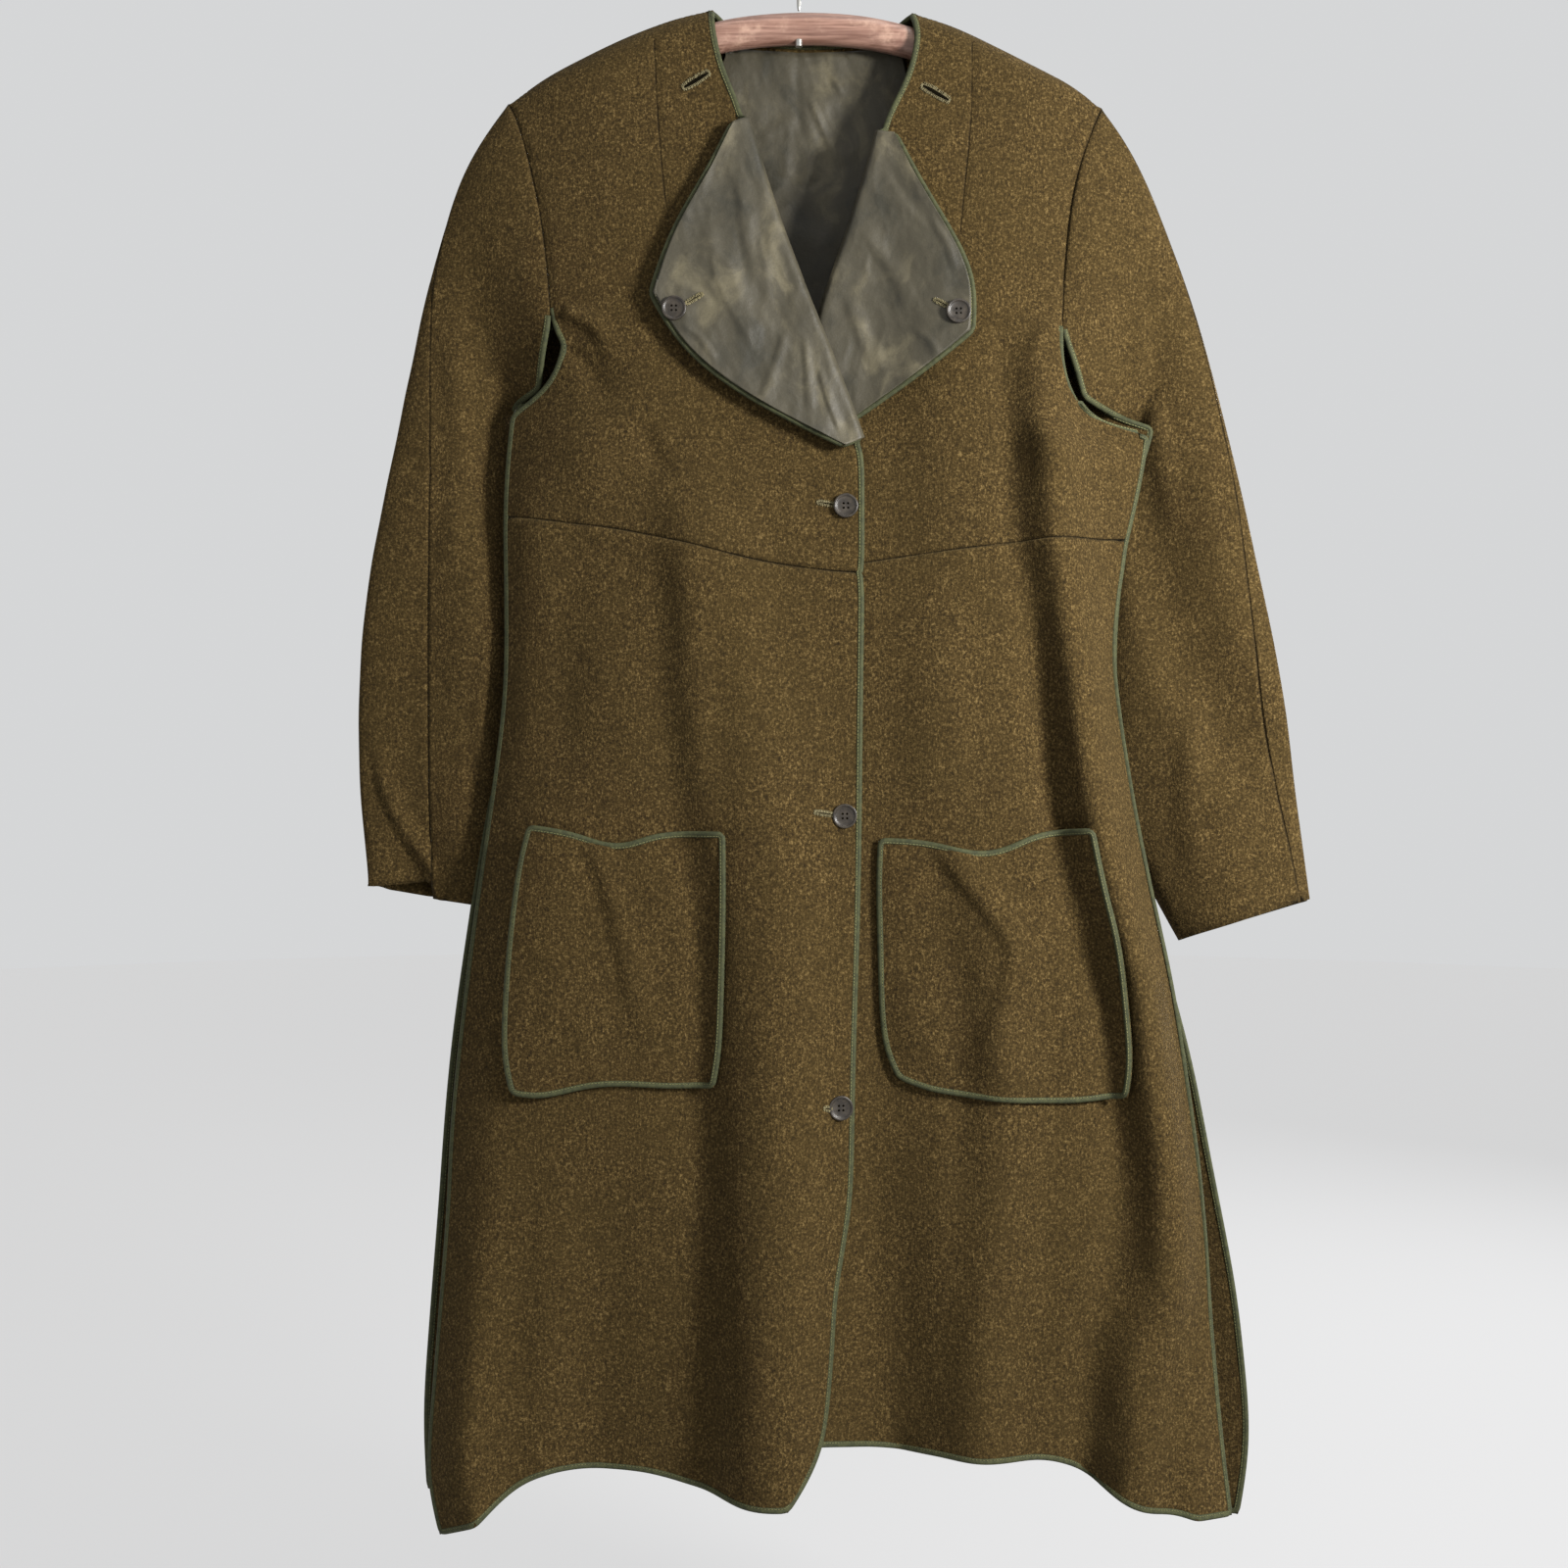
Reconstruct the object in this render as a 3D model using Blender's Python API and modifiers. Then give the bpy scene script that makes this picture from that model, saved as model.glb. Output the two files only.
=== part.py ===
"""Collarless wool overcoat, open at the neck, hung on a wooden hanger.

The coat is cut from flat panels and hangs in soft folds.  Every panel is a thin wall
that follows its outline and one shared form of the fronts or of the back, and each raw
edge carries a narrow tape.  Right and left are the wearer's, so right is towards -X.

Places on the cloth are written as x and drop, in millimetres.  x runs from the line of
the hook and drop runs down from the top of the bar.  Both are read square on from the
front in the plane of the hanger, and depth is the distance behind that plane.
"""
import math
from collections import namedtuple

import bmesh
import bpy
from mathutils import Vector

MM = 0.001

# ---- driving dimensions, in millimetres --------------------------------------------
BAR_DROP = 75.0            # top of the bar below the inside of the hook
EYE_DISTANCE = 1350.0      # the outlines are read from here, in front of the hanger,
EYE_X = -11.0              # and from this place, so what stands forward is drawn in
EYE_DROP = 575.0
WOOL = 2.0                 # wall of the wool panels
SATIN = 1.0                # wall of the lining
SEAM = 0.35                # half of the gap between two panels at a seam
TAPE_RADIUS = 1.7          # half width of the rolled tape on a raw edge
TAPE_GAP = 0.6
ROLL = 4.5                 # radius of the lapel's roll at the lining side
SHOULDER_TURN = 14.0       # the shoulder rolls over the bar in this drop
SIDE_ROUND = 75.0          # width in which a front rounds forward from its edge
POCKET_STAND = 1.2         # air behind a patch pocket
BUTTON_RADIUS = 8.8
BUTTON_STAND = 1.0

SIGN = {"right": -1, "left": 1}

# ---- outlines ----------------------------------------------------------------------
SHOULDER = {
    "right": [(-64, 1), (-88, 6), (-124, 19), (-160, 36), (-190, 52), (-215, 70)],
    "left": [(84, 3), (110, 11), (135, 22), (179, 44), (204, 57), (224, 73)],
}
ARMHOLE_SEAM = {
    "right": [(-215, 70), (-207, 86), (-197, 125), (-190, 161), (-186, 198), (-184, 233)],
    "left": [(224, 73), (213, 99), (203, 136), (199, 171), (196, 208), (195, 240)],
}
ARMHOLE_LOW = {
    "right": [(-184, 233), (-175, 248), (-176, 258), (-184, 274), (-196, 291), (-213, 301)],
    "left": [(195, 240), (193, 256), (199, 283), (216, 305), (230, 314), (260, 317)],
}
BACK_LOW = {
    "right": [(-184, 233), (-182, 253), (-186, 271), (-192, 287), (-199, 300), (-208, 311)],
    "left": [(195, 240), (196, 262), (201, 284), (212, 303), (229, 314), (256, 320)],
}
SIDE_UPPER = {
    "right": [(-213, 301), (-216, 340), (-217, 377)],
    "left": [(260, 317), (252, 358), (244, 393)],
}
SIDE_LOWER = {
    "right": [(-217, 377), (-216, 483), (-220, 539), (-241, 690), (-255, 815), (-258, 880),
              (-267, 998), (-273, 1072), (-273, 1105), (-264, 1129)],
    "left": [(244, 393), (234, 458), (231, 486), (237, 528), (253, 623), (283, 779),
             (300, 900), (307, 985), (316, 1080), (321, 1119)],
}
BACK_SIDE = {
    "right": [(-217, 377), (-219, 483), (-224, 539), (-247, 690), (-260, 786), (-266, 871),
              (-274, 973), (-280, 1055), (-283, 1085), (-276, 1100)],
    "left": [(244, 393), (235, 458), (232, 486), (239, 528), (263, 671), (292, 779),
             (308, 867), (325, 950), (335, 1050), (337, 1098), (327, 1119)],
}
BACK_SIDE_UPPER = {
    "right": [(-208, 311), (-214, 342), (-217, 377)],
    "left": [(256, 320), (250, 358), (244, 393)],
}
CHEST_SEAM = {
    "right": [(-217, 377), (-142, 383), (-84, 396), (-40, 407), (11, 415), (48, 418)],
    "left": [(244, 393), (179, 394), (135, 398), (91, 404), (51, 410), (20, 415)],
}
NECK_EDGE = {
    "right": [(-64, 1), (-60, 34), (-46, 66)],
    "left": [(84, 3), (88, 34), (66, 77)],
}
FOLD_LINE = {
    "right": [(-46, 66), (-29, 125), (-14, 169), (9, 229), (24, 265), (48, 331)],
    "left": [(66, 77), (57, 111), (46, 149), (19, 228), (12, 268), (17, 320)],
}
LAPEL_EDGE = {
    "right": [(-46, 66), (-55, 93), (-80, 137), (-99, 167), (-110, 202), (-112, 220),
              (-107, 235), (-91, 247), (-39, 288), (11, 312), (48, 331)],
    "left": [(66, 77), (96, 134), (119, 169), (135, 203), (135, 225), (129, 239),
             (91, 269), (40, 305), (17, 320)],
}
FRONT_EDGE_UPPER = {
    "right": [(48, 331), (48, 375), (48, 418)],
    "left": [(17, 320), (19, 370), (20, 415)],
}
FRONT_EDGE_LOWER = {
    "right": [(48, 418), (47, 502), (45, 648), (41, 779), (38, 896), (28, 940), (24, 1009), (18, 1064)],
    "left": [(20, 415), (18, 648), (12, 779), (7, 903), (-2, 998), (-11, 1064)],
}
HEM = {
    "right": [(-264, 1129), (-252, 1133), (-238, 1124), (-215, 1099), (-196, 1088), (-163, 1080),
              (-119, 1087), (-70, 1098), (-31, 1112), (-14, 1115), (0, 1104), (18, 1064)],
    "left": [(321, 1119), (311, 1127), (292, 1122), (234, 1099), (202, 1078), (160, 1077),
             (118, 1077), (62, 1068), (26, 1068), (-11, 1064)],
}
BACK_NECK = [(-64, 1), (-48, 19), (8, 25), (66, 20), (84, 3)]
BACK_HEM = [(-276, 1100), (-262, 1103), (-225, 1086), (-150, 1069), (0, 1066), (150, 1072),
            (260, 1096), (310, 1118), (327, 1119)]

# ---- forms: how far the cloth stands out along its length -----------------------------
Level = namedtuple("Level", "drop crown")
FRONT_CROWN = [Level(0, 12), Level(30, 15), Level(120, 24), Level(250, 35), Level(380, 43),
               Level(600, 45), Level(1000, 48), Level(1135, 50)]
BACK_CROWN = [Level(0, 12.5), Level(120, 15), Level(400, 18), Level(1135, 22)]

EdgeLevel = namedtuple("EdgeLevel", "drop depth")
FRONT_EDGE_DEPTH = [EdgeLevel(70, -2), EdgeLevel(86, -10), EdgeLevel(125, -16), EdgeLevel(198, -21),
                    EdgeLevel(240, -23), EdgeLevel(262, -22), EdgeLevel(290, -14),
                    EdgeLevel(303, -5), EdgeLevel(380, -3.4), EdgeLevel(700, -4),
                    EdgeLevel(850, -12), EdgeLevel(1000, -28), EdgeLevel(1135, -42)]
BACK_EDGE_DEPTH = [EdgeLevel(70, 2), EdgeLevel(86, 8), EdgeLevel(125, 12), EdgeLevel(240, 13),
                   EdgeLevel(290, 8), EdgeLevel(303, 3.4), EdgeLevel(700, 3.4), EdgeLevel(1135, 0)]

# A fold is a soft ridge (forward is plus) or trough (minus) that follows a path.
Fold = namedtuple("Fold", "path width_top width_end rise_top rise_end")
FRONT_FOLDS = [
    Fold([(-232, 700), (-252, 1135)], 18, 30, 0, 30),              # side corner, right
    Fold([(-150, 830), (-156, 1135)], 45, 62, 0, -26),             # hollow beside it
    Fold([(-34, 400), (-4, 650), (-18, 1135)], 45, 60, 6, 26),     # long ridge by the buttons
    Fold([(-62, 390), (-64, 800), (-75, 1135)], 26, 36, -5, -10),  # its dark flank
    Fold([(-176, 232), (-150, 262), (-126, 370)], 14, 20, -7, -2),  # pull from the armhole
    Fold([(-148, 420), (-140, 600)], 45, 45, 5, 5),
    Fold([(168, 120), (170, 330), (198, 590), (248, 790), (256, 925), (215, 1135)], 20, 46, -7, -22),
    Fold([(214, 400), (221, 520), (262, 740), (300, 1000), (312, 1135)], 16, 34, 5, 26),
    Fold([(126, 830), (135, 1135)], 40, 48, 0, 10),
    Fold([(72, 840), (68, 1135)], 30, 34, 0, -13),
    Fold([(176, 612), (186, 730)], 30, 30, 6, 4),
    Fold([(100, 430), (104, 590)], 45, 45, 5, 4),
]
POCKET_FOLDS = {
    "right": [Fold([(-186, 616), (-150, 790)], 15, 18, 6, 4),
              Fold([(-118, 620), (-96, 780)], 26, 30, 4, 3)],
    "left": [Fold([(112, 626), (168, 700), (150, 790)], 16, 24, 5, 8),
             Fold([(76, 640), (84, 760)], 14, 18, 4, 5)],
}
BACK_FOLDS = [
    Fold([(-190, 620), (-205, 1135)], 30, 48, 0, 9),
    Fold([(-118, 700), (-120, 1135)], 34, 44, 0, -8),
    Fold([(-40, 540), (-36, 1135)], 34, 50, 0, 11),
    Fold([(48, 660), (46, 1135)], 32, 42, 0, -7),
    Fold([(118, 560), (130, 1135)], 34, 50, 0, 10),
    Fold([(196, 720), (214, 1135)], 30, 44, 0, -7),
]
SLEEVE_FOLDS = {
    "right": [
        Fold([(-318, 560), (-296, 600), (-272, 650)], 18, 24, -9, -13),
        Fold([(-300, 400), (-270, 440), (-225, 470)], 14, 16, -4, -3),
        Fold([(-222, 250), (-240, 400), (-246, 560)], 16, 18, -5, -3),
    ],
    "left": [
        Fold([(368, 560), (330, 585), (288, 592)], 12, 14, -4, -3),
        Fold([(236, 150), (262, 300), (280, 470)], 16, 20, -5, -3),
        Fold([(345, 470), (318, 520), (270, 560)], 16, 18, -5, -3),
    ],
}

# ---- sleeves: one row for each ring, from the armhole to the cuff ---------------------
Ring = namedtuple("Ring", "outer inner outer_depth front_depth back_depth front_bulge back_bulge seam")
SLEEVE_RINGS = {
    "right": [
        Ring((-215, 70), (-184, 233), 0, -23, 13, 7, 5, 0),
        Ring((-232, 91), (-190, 256), 0, -16, 18, 10, 8, 0),
        Ring((-249, 119), (-192, 281), 0, -1, 21, 12, 10, 0),
        Ring((-262, 156), (-216, 298), 2, 20, 20, 11, 10, 0),
        Ring((-277, 208), (-207, 330), 3, 24, 24, 12, 11, 22),
        Ring((-288, 262), (-203, 368), 4, 27, 27, 14, 12, 46),
        Ring((-301, 322), (-197, 412), 4, 28, 28, 15, 13, 60),
        Ring((-315, 384), (-191, 457), 3, 28, 28, 16, 14, 68),
        Ring((-325, 440), (-187, 503), 6, 29, 29, 14, 13, 73),
        Ring((-330, 498), (-185, 552), 8, 29, 29, 12, 13, 75),
        Ring((-330, 552), (-186, 600), 9, 29, 29, 12, 13, 76),
        Ring((-327, 603), (-188, 640), 11, 31, 31, 11, 13, 76),
        Ring((-321, 651), (-190, 673), 12, 32, 32, 10, 13, 77),
    ],
    "left": [
        Ring((224, 73), (195, 240), 0, -23, 13, 7, 5, 0),
        Ring((240, 93), (205, 262), 0, -17, 17, 10, 8, 0),
        Ring((254, 118), (211, 287), 0, -9, 19, 12, 10, 0),
        Ring((268, 150), (234, 302), 2, 8, 21, 11, 10, 0),
        Ring((284, 192), (256, 310), 4, 21, 21, 10, 10, 10),
        Ring((300, 240), (247, 354), 6, 26, 26, 11, 11, 14),
        Ring((313, 288), (237, 397), 7, 29, 29, 12, 12, 18),
        Ring((327, 345), (229, 442), 7, 30, 30, 13, 13, 21),
        Ring((340, 400), (225, 490), 7, 30, 30, 14, 13, 30),
        Ring((353, 458), (226, 540), 6, 30, 30, 14, 13, 38),
        Ring((364, 520), (236, 590), 7, 29, 29, 14, 14, 44),
        Ring((374, 590), (254, 640), 8, 28, 28, 16, 15, 38),
        Ring((382, 661), (283, 691), 8, 26, 26, 18, 16, 30),
    ],
}

# ---- pockets, buttons and hanger -----------------------------------------------------
PocketEdges = namedtuple("PocketEdges", "top bottom side_a side_b")
POCKET = {
    "right": PocketEdges(
        [(-200, 606), (-169, 611), (-136, 622), (-110, 613), (-93, 611), (-55, 611)],
        [(-213, 805), (-190, 809), (-161, 801), (-131, 799), (-100, 801), (-63, 800)],
        [(-200, 606), (-208, 640), (-216, 711), (-219, 777), (-213, 805)],
        [(-55, 611), (-55, 677), (-58, 770), (-63, 800)]),
    "left": PocketEdges(
        [(60, 616), (96, 618), (134, 627), (158, 622), (177, 612), (213, 608)],
        [(74, 794), (100, 804), (158, 810), (208, 812), (241, 806)],
        [(60, 616), (59, 661), (63, 765), (74, 794)],
        [(213, 608), (222, 652), (234, 700), (243, 777), (241, 806)]),
}
FRONT_BUTTONS = [(35, 368), (34, 599), (31, 816)]
LAPEL_BUTTON = {"right": (-93, 221), "left": (119, 223)}

BarSection = namedtuple("BarSection", "x drop height depth")
BAR_HALF = [BarSection(0, 0, 24, 20.5), BarSection(40, 2.5, 24, 20.5), BarSection(64, 7, 24, 20),
            BarSection(88, 13.5, 24, 20), BarSection(107, 21.5, 23, 19), BarSection(135, 32, 22, 18),
            BarSection(157, 42, 21, 16.5), BarSection(177, 50.5, 19, 15), BarSection(190, 58, 15, 11)]
BAR_TILT = 0.014          # the coat's weight is a little off the hook
WIRE_RADIUS = 1.75
HOOK_RADIUS = 18.0
HOOK_TIP_ANGLE = -35.0

COLOURS = {
    "wool": ((0.115, 0.078, 0.027, 1), 0.95, 0.0),
    "satin": ((0.070, 0.066, 0.042, 1), 0.42, 0.0),
    "tape": ((0.060, 0.064, 0.034, 1), 0.8, 0.0),
    "button": ((0.070, 0.052, 0.040, 1), 0.45, 0.0),
    "wood": ((0.26, 0.105, 0.065, 1), 0.4, 0.0),
    "steel": ((0.55, 0.55, 0.53, 1), 0.3, 1.0),
}


# ---- small helpers -----------------------------------------------------------------
def place(x, drop, depth):
    """The point in metres for a place read from the front and its depth."""
    scale = 1 + depth / EYE_DISTANCE
    real_x = EYE_X + (x - EYE_X) * scale
    real_drop = EYE_DROP + (drop - EYE_DROP) * scale
    return Vector((real_x, depth, -BAR_DROP - real_drop)) * MM


def mix(a, b, t):
    return a + (b - a) * t


def mix_point(a, b, t):
    return (mix(a[0], b[0], t), mix(a[1], b[1], t))


def read(levels, drop):
    """The second column of a table of levels at a drop, straight between its rows."""
    if drop <= levels[0][0]:
        return levels[0][1]
    for low, high in zip(levels, levels[1:]):
        if drop <= high[0]:
            return mix(low[1], high[1], (drop - low[0]) / (high[0] - low[0]))
    return levels[-1][1]


def smooth(points, steps=8):
    """A soft curve through a few points (Catmull-Rom)."""
    ends = [points[0], *points, points[-1]]
    line = []
    for before, a, b, after in zip(ends, ends[1:], ends[2:], ends[3:]):
        for step in range(steps):
            t = step / steps
            line.append(tuple(
                0.5 * (2 * q + (r - p) * t + (2 * p - 5 * q + 4 * r - s) * t * t
                       + (3 * q - p - 3 * r + s) * t ** 3)
                for p, q, r, s in zip(before, a, b, after)))
    return [*line, tuple(points[-1])]


def along(points, marks):
    """Points of a soft curve at the given shares of its length."""
    line = smooth(points)
    reach = [0.0]
    for a, b in zip(line, line[1:]):
        reach.append(reach[-1] + math.dist(a, b))
    found = []
    for mark in marks:
        wanted = mark * reach[-1]
        k = 0
        while k < len(line) - 2 and reach[k + 1] < wanted:
            k += 1
        found.append(mix_point(line[k], line[k + 1], (wanted - reach[k]) / (reach[k + 1] - reach[k])))
    return found


def even(cells):
    return [k / cells for k in range(cells + 1)]


def chain(*stretches):
    """One row of points from several stretches, each a curve and its marks."""
    row = []
    for points, marks in stretches:
        row += along(points, marks)[1 if row else 0:]
    return row


def patch(top, bottom, side_a, side_b):
    """A net of points between four edges; rows run from side_a to side_b."""
    net = []
    for j, (a, b) in enumerate(zip(side_a, side_b)):
        v = j / (len(side_a) - 1)
        row = []
        for i, (p, q) in enumerate(zip(top, bottom)):
            u = i / (len(top) - 1)
            row.append(tuple(
                (1 - v) * p[n] + v * q[n] + (1 - u) * a[n] + u * b[n]
                - (1 - u) * (1 - v) * top[0][n] - u * (1 - v) * top[-1][n]
                - (1 - u) * v * bottom[0][n] - u * v * bottom[-1][n]
                for n in range(2)))
        net.append(row)
    return net


# ---- the form of the cloth ----------------------------------------------------------
def fold_rise(folds, x, drop):
    total = 0.0
    for fold in folds:
        first, last = fold.path[0][1], fold.path[-1][1]
        if not first <= drop <= last:
            continue
        t = (drop - first) / (last - first)
        centre = read([(d, px) for px, d in fold.path], drop)
        width = mix(fold.width_top, fold.width_end, t)
        distance = min(abs(x - centre) / width, 1)
        ends = min(1, t * 4) if last > 1100 else min(1, t * 4, (1 - t) * 4)
        total += mix(fold.rise_top, fold.rise_end, t) * ends * math.cos(distance * math.pi / 2) ** 2
    return total


def slanted_rise(folds, x, drop):
    """Folds that may run across: distance is measured to the path itself."""
    total = 0.0
    for fold in folds:
        line = smooth(fold.path, 4)
        near, at = min((math.dist((x, drop), p), k) for k, p in enumerate(line))
        t = at / (len(line) - 1)
        width = mix(fold.width_top, fold.width_end, t)
        total += mix(fold.rise_top, fold.rise_end, t) * math.cos(min(near / width, 1) * math.pi / 2) ** 2
    return total


def shoulder_drop(x):
    levels = [*reversed(SHOULDER["right"]), (-50, -30), (70, -30), *SHOULDER["left"]]
    return read(levels, x)


def shoulder_turn(x, drop):
    """0 on top of the shoulder, 1 once the cloth has turned down over the bar."""
    below = max(0.0, drop - shoulder_drop(x))
    return math.sqrt(1 - (1 - min(below / SHOULDER_TURN, 1)) ** 2)


def side_levels(side, low, upper, lower):
    line = [*ARMHOLE_SEAM[side], *low[side][1:], *upper[side][1:], *lower[side][1:]]
    return [(d, x) for x, d in line]


FRONT_SIDE_LEVELS = {side: side_levels(side, ARMHOLE_LOW, SIDE_UPPER, SIDE_LOWER) for side in SIGN}
BACK_SIDE_LEVELS = {side: side_levels(side, BACK_LOW, BACK_SIDE_UPPER, BACK_SIDE) for side in SIGN}


def rounding(side, x, drop, levels, width):
    """How far the cloth has rounded away from its side edge, and how far folds have set in."""
    inside = max(0.0, (read(levels[side], drop) - x) * SIGN[side])
    return math.sin(min(inside / width, 1) * math.pi / 2), min(inside / 20, 1)


def front_depth(side, x, drop):
    """Depth of the inner face of a front."""
    reach, fade = rounding(side, x, drop, FRONT_SIDE_LEVELS, SIDE_ROUND)
    edge = read(FRONT_EDGE_DEPTH, drop)
    depth = mix(edge, -read(FRONT_CROWN, drop), reach) - fold_rise(FRONT_FOLDS, x, drop) * fade
    if side == "left":
        depth += underlap(x, drop)
    return depth * shoulder_turn(x, drop)


def underlap(x, drop):
    """The left front lies behind the right one, deeper where the lapel is between."""
    reach = min(max((112 - x) / 50, 0), 1)
    amount = read([(150, 1), (205, 12.5), (335, 12.5), (400, 7), (1135, 8)], drop)
    return amount * reach * reach * (3 - 2 * reach)


def back_depth(x, drop):
    """Depth of the inner face of the back."""
    side = "right" if x < 10 else "left"
    reach, fade = rounding(side, x, drop, BACK_SIDE_LEVELS, SIDE_ROUND)
    edge = read(BACK_EDGE_DEPTH, drop)
    depth = mix(edge, read(BACK_CROWN, drop), reach) + fold_rise(BACK_FOLDS, x, drop) * fade
    return depth * shoulder_turn(x, drop)


# ---- making objects -----------------------------------------------------------------
def clear_scene():
    for item in list(bpy.data.objects):
        bpy.data.objects.remove(item, do_unlink=True)


def material(name):
    made = bpy.data.materials.get(name)
    if made is None:
        colour, roughness, metallic = COLOURS[name]
        made = bpy.data.materials.new(name)
        made.use_nodes = True
        shader = made.node_tree.nodes["Principled BSDF"]
        shader.inputs["Base Color"].default_value = colour
        shader.inputs["Roughness"].default_value = roughness
        shader.inputs["Metallic"].default_value = metallic
    return made


def add_object(name, data, finish):
    made = bpy.data.objects.new(name, data)
    data.materials.append(material(finish))
    bpy.data.collections["wool_overcoat"].objects.link(made)
    return made


def cloth(name, nets, wall, finish, turned=False):
    """A wall of cloth on one or more nets of points, which are its inner face."""
    mesh = bmesh.new()
    for net in nets:
        rows, columns = len(net) - 1, len(net[0]) - 1
        made = bmesh.ops.create_grid(mesh, x_segments=columns, y_segments=rows, size=1)
        for corner in made["verts"]:
            i = round((corner.co.x + 1) / 2 * columns)
            j = round((corner.co.y + 1) / 2 * rows)
            corner.co = place(*net[j][i])
    bmesh.ops.remove_doubles(mesh, verts=mesh.verts[:], dist=0.00001)
    if turned:
        bmesh.ops.reverse_faces(mesh, faces=mesh.faces[:])
    data = bpy.data.meshes.new(name)
    mesh.to_mesh(data)
    mesh.free()
    data.shade_smooth()
    made = add_object(name, data, finish)
    solid = made.modifiers.new("wall", "SOLIDIFY")
    solid.thickness = wall * MM
    solid.offset = 1
    return made


def tube(name, points, radius, finish, sides_level=0, closed=False):
    curve = bpy.data.curves.new(name, "CURVE")
    curve.dimensions = "3D"
    curve.bevel_depth = radius * MM
    curve.bevel_resolution = sides_level
    curve.use_fill_caps = not closed
    spline = curve.splines.new("POLY")
    spline.points.add(len(points) - 1)
    for slot, point in zip(spline.points, points):
        slot.co = (*point, 1)
    spline.use_cyclic_u = closed
    return add_object(name, curve, finish)


def edge_path(pairs, wall_side, closed=False, trim=(0, 0)):
    """Centre line of the tape beside an edge.

    pairs are the points of the edge with their neighbours inside the cloth; wall_side is
    +1 or -1 and says on which side of the net the wall stands; trim leaves out points at
    both ends that only steer the path.
    """
    edge = [place(*a) for a, _ in pairs]
    inside = [place(*b) for _, b in pairs]
    spans = list(zip(range(len(edge)), range(1, len(edge))))
    if closed:
        spans.append((len(edge) - 1, 0))
    outward, upright = [], []
    for a, b in spans:
        tangent = (edge[b] - edge[a]).normalized()
        inner = (inside[a] + inside[b] - edge[a] - edge[b]) / 2
        away = -(inner - tangent * inner.dot(tangent)).normalized()
        outward.append(away)
        upright.append(tangent.cross(away) * wall_side)
    path = []
    for k, point in enumerate(edge):
        before = k - 1 if (k or closed) else 0
        after = k if k < len(outward) else len(outward) - 1
        a, b = outward[before], outward[after]
        miter = (a + b) / max(1 + a.dot(b), 0.7)
        lift = (upright[before] + upright[after]).normalized()
        path.append(point + miter * (TAPE_GAP + TAPE_RADIUS) * MM + lift * WOOL / 2 * MM)
    return path[trim[0]:len(path) - trim[1]]


# ---- panels ---------------------------------------------------------------------------
TURN_MARKS = [0, 0.016, 0.045, 0.09]
LOW_MARKS = [0, 0.2, 0.42, 0.65, 1]
LOW_ROWS = range(9, 15)    # rows whose ends lie at the low armhole, and two more
FRONT_CELLS = 12           # cells across a front, the same on both sides of the chest seam


def moved(points, by_drop):
    return [(x, drop + by_drop) for x, drop in points]


def relax(flat, rounds=8):
    """Even out the rows at the low armhole, where the edge runs almost along them."""
    for _ in range(rounds):
        for j in LOW_ROWS:
            for i in range(1, len(flat[j]) - 1):
                around = (flat[j - 1][i], flat[j + 1][i], flat[j][i - 1], flat[j][i + 1])
                flat[j][i] = tuple(sum(p[n] for p in around) / 4 for n in range(2))


def upper_front_net(side):
    seam_marks = TURN_MARKS + [0.25, 0.42, 0.6, 0.8, 1]
    neck_marks = [0, 0.04, 0.11, 0.22, 0.6, 1]
    fold_marks = [0, 0.05, 0.18, 0.32, 0.46, 0.6, 0.74, 0.87, 0.955, 1]
    outer = chain((ARMHOLE_SEAM[side], seam_marks), (ARMHOLE_LOW[side], LOW_MARKS), (SIDE_UPPER[side], even(5)))
    front = chain((NECK_EDGE[side], neck_marks), (FOLD_LINE[side], fold_marks),
                  (FRONT_EDGE_UPPER[side], even(3)))
    top = along(list(reversed(SHOULDER[side])), even(FRONT_CELLS))
    bottom = moved(along(CHEST_SEAM[side], even(FRONT_CELLS)), by_drop=-SEAM)
    flat = patch(top, bottom, outer, front)
    relax(flat)
    return [[(x, d, front_depth(side, x, d)) for x, d in row] for row in flat]


FOLD_START = 5             # row of the upper front where its fold line begins
FOLD_CELLS = 9


def lapel_net(side, panel, lift=0.0, inset=0.0):
    """The turned-back lapel of a front panel: round the roll, then flat over the front."""
    edge_marks = [0, 0.045, 0.16, 0.3, 0.43, 0.56, 0.7, 0.84, 0.955, 1]
    rims = along(LAPEL_EDGE[side], edge_marks)
    net = []
    for k in range(1, FOLD_CELLS):
        fold = panel[FOLD_START + k][-1][:2]
        rim = rims[k]
        width = math.dist(fold, rim)
        out = ((fold[0] - rim[0]) / width, (fold[1] - rim[1]) / width)
        start = front_depth(side, *fold)
        row = []
        for angle in (0, 50, 95, 140, 180):
            swing = math.sin(math.radians(angle)) * (ROLL + lift)
            forward = (1 - math.cos(math.radians(angle))) * ROLL - lift * math.cos(math.radians(angle))
            row.append((fold[0] + out[0] * swing, fold[1] + out[1] * swing, start - forward))
        for share in (0.25, 0.5, 0.78, 1):
            share *= 1 - min(inset / width, 0.15)
            x, drop = mix_point(fold, rim, share)
            stand = 2 * ROLL + lift + lapel_stand(side, share, x)
            row.append((x, drop, front_depth(side, x, drop) - stand))
        net.append(row)
    return net


def lapel_stand(side, share, x):
    """How far the lapel springs off the front, beyond the thickness of its roll."""
    if side == "right":
        return 3 * share * share
    return 4 * share * share * min(max((x - 48) / 40, 0), 1)


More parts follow.
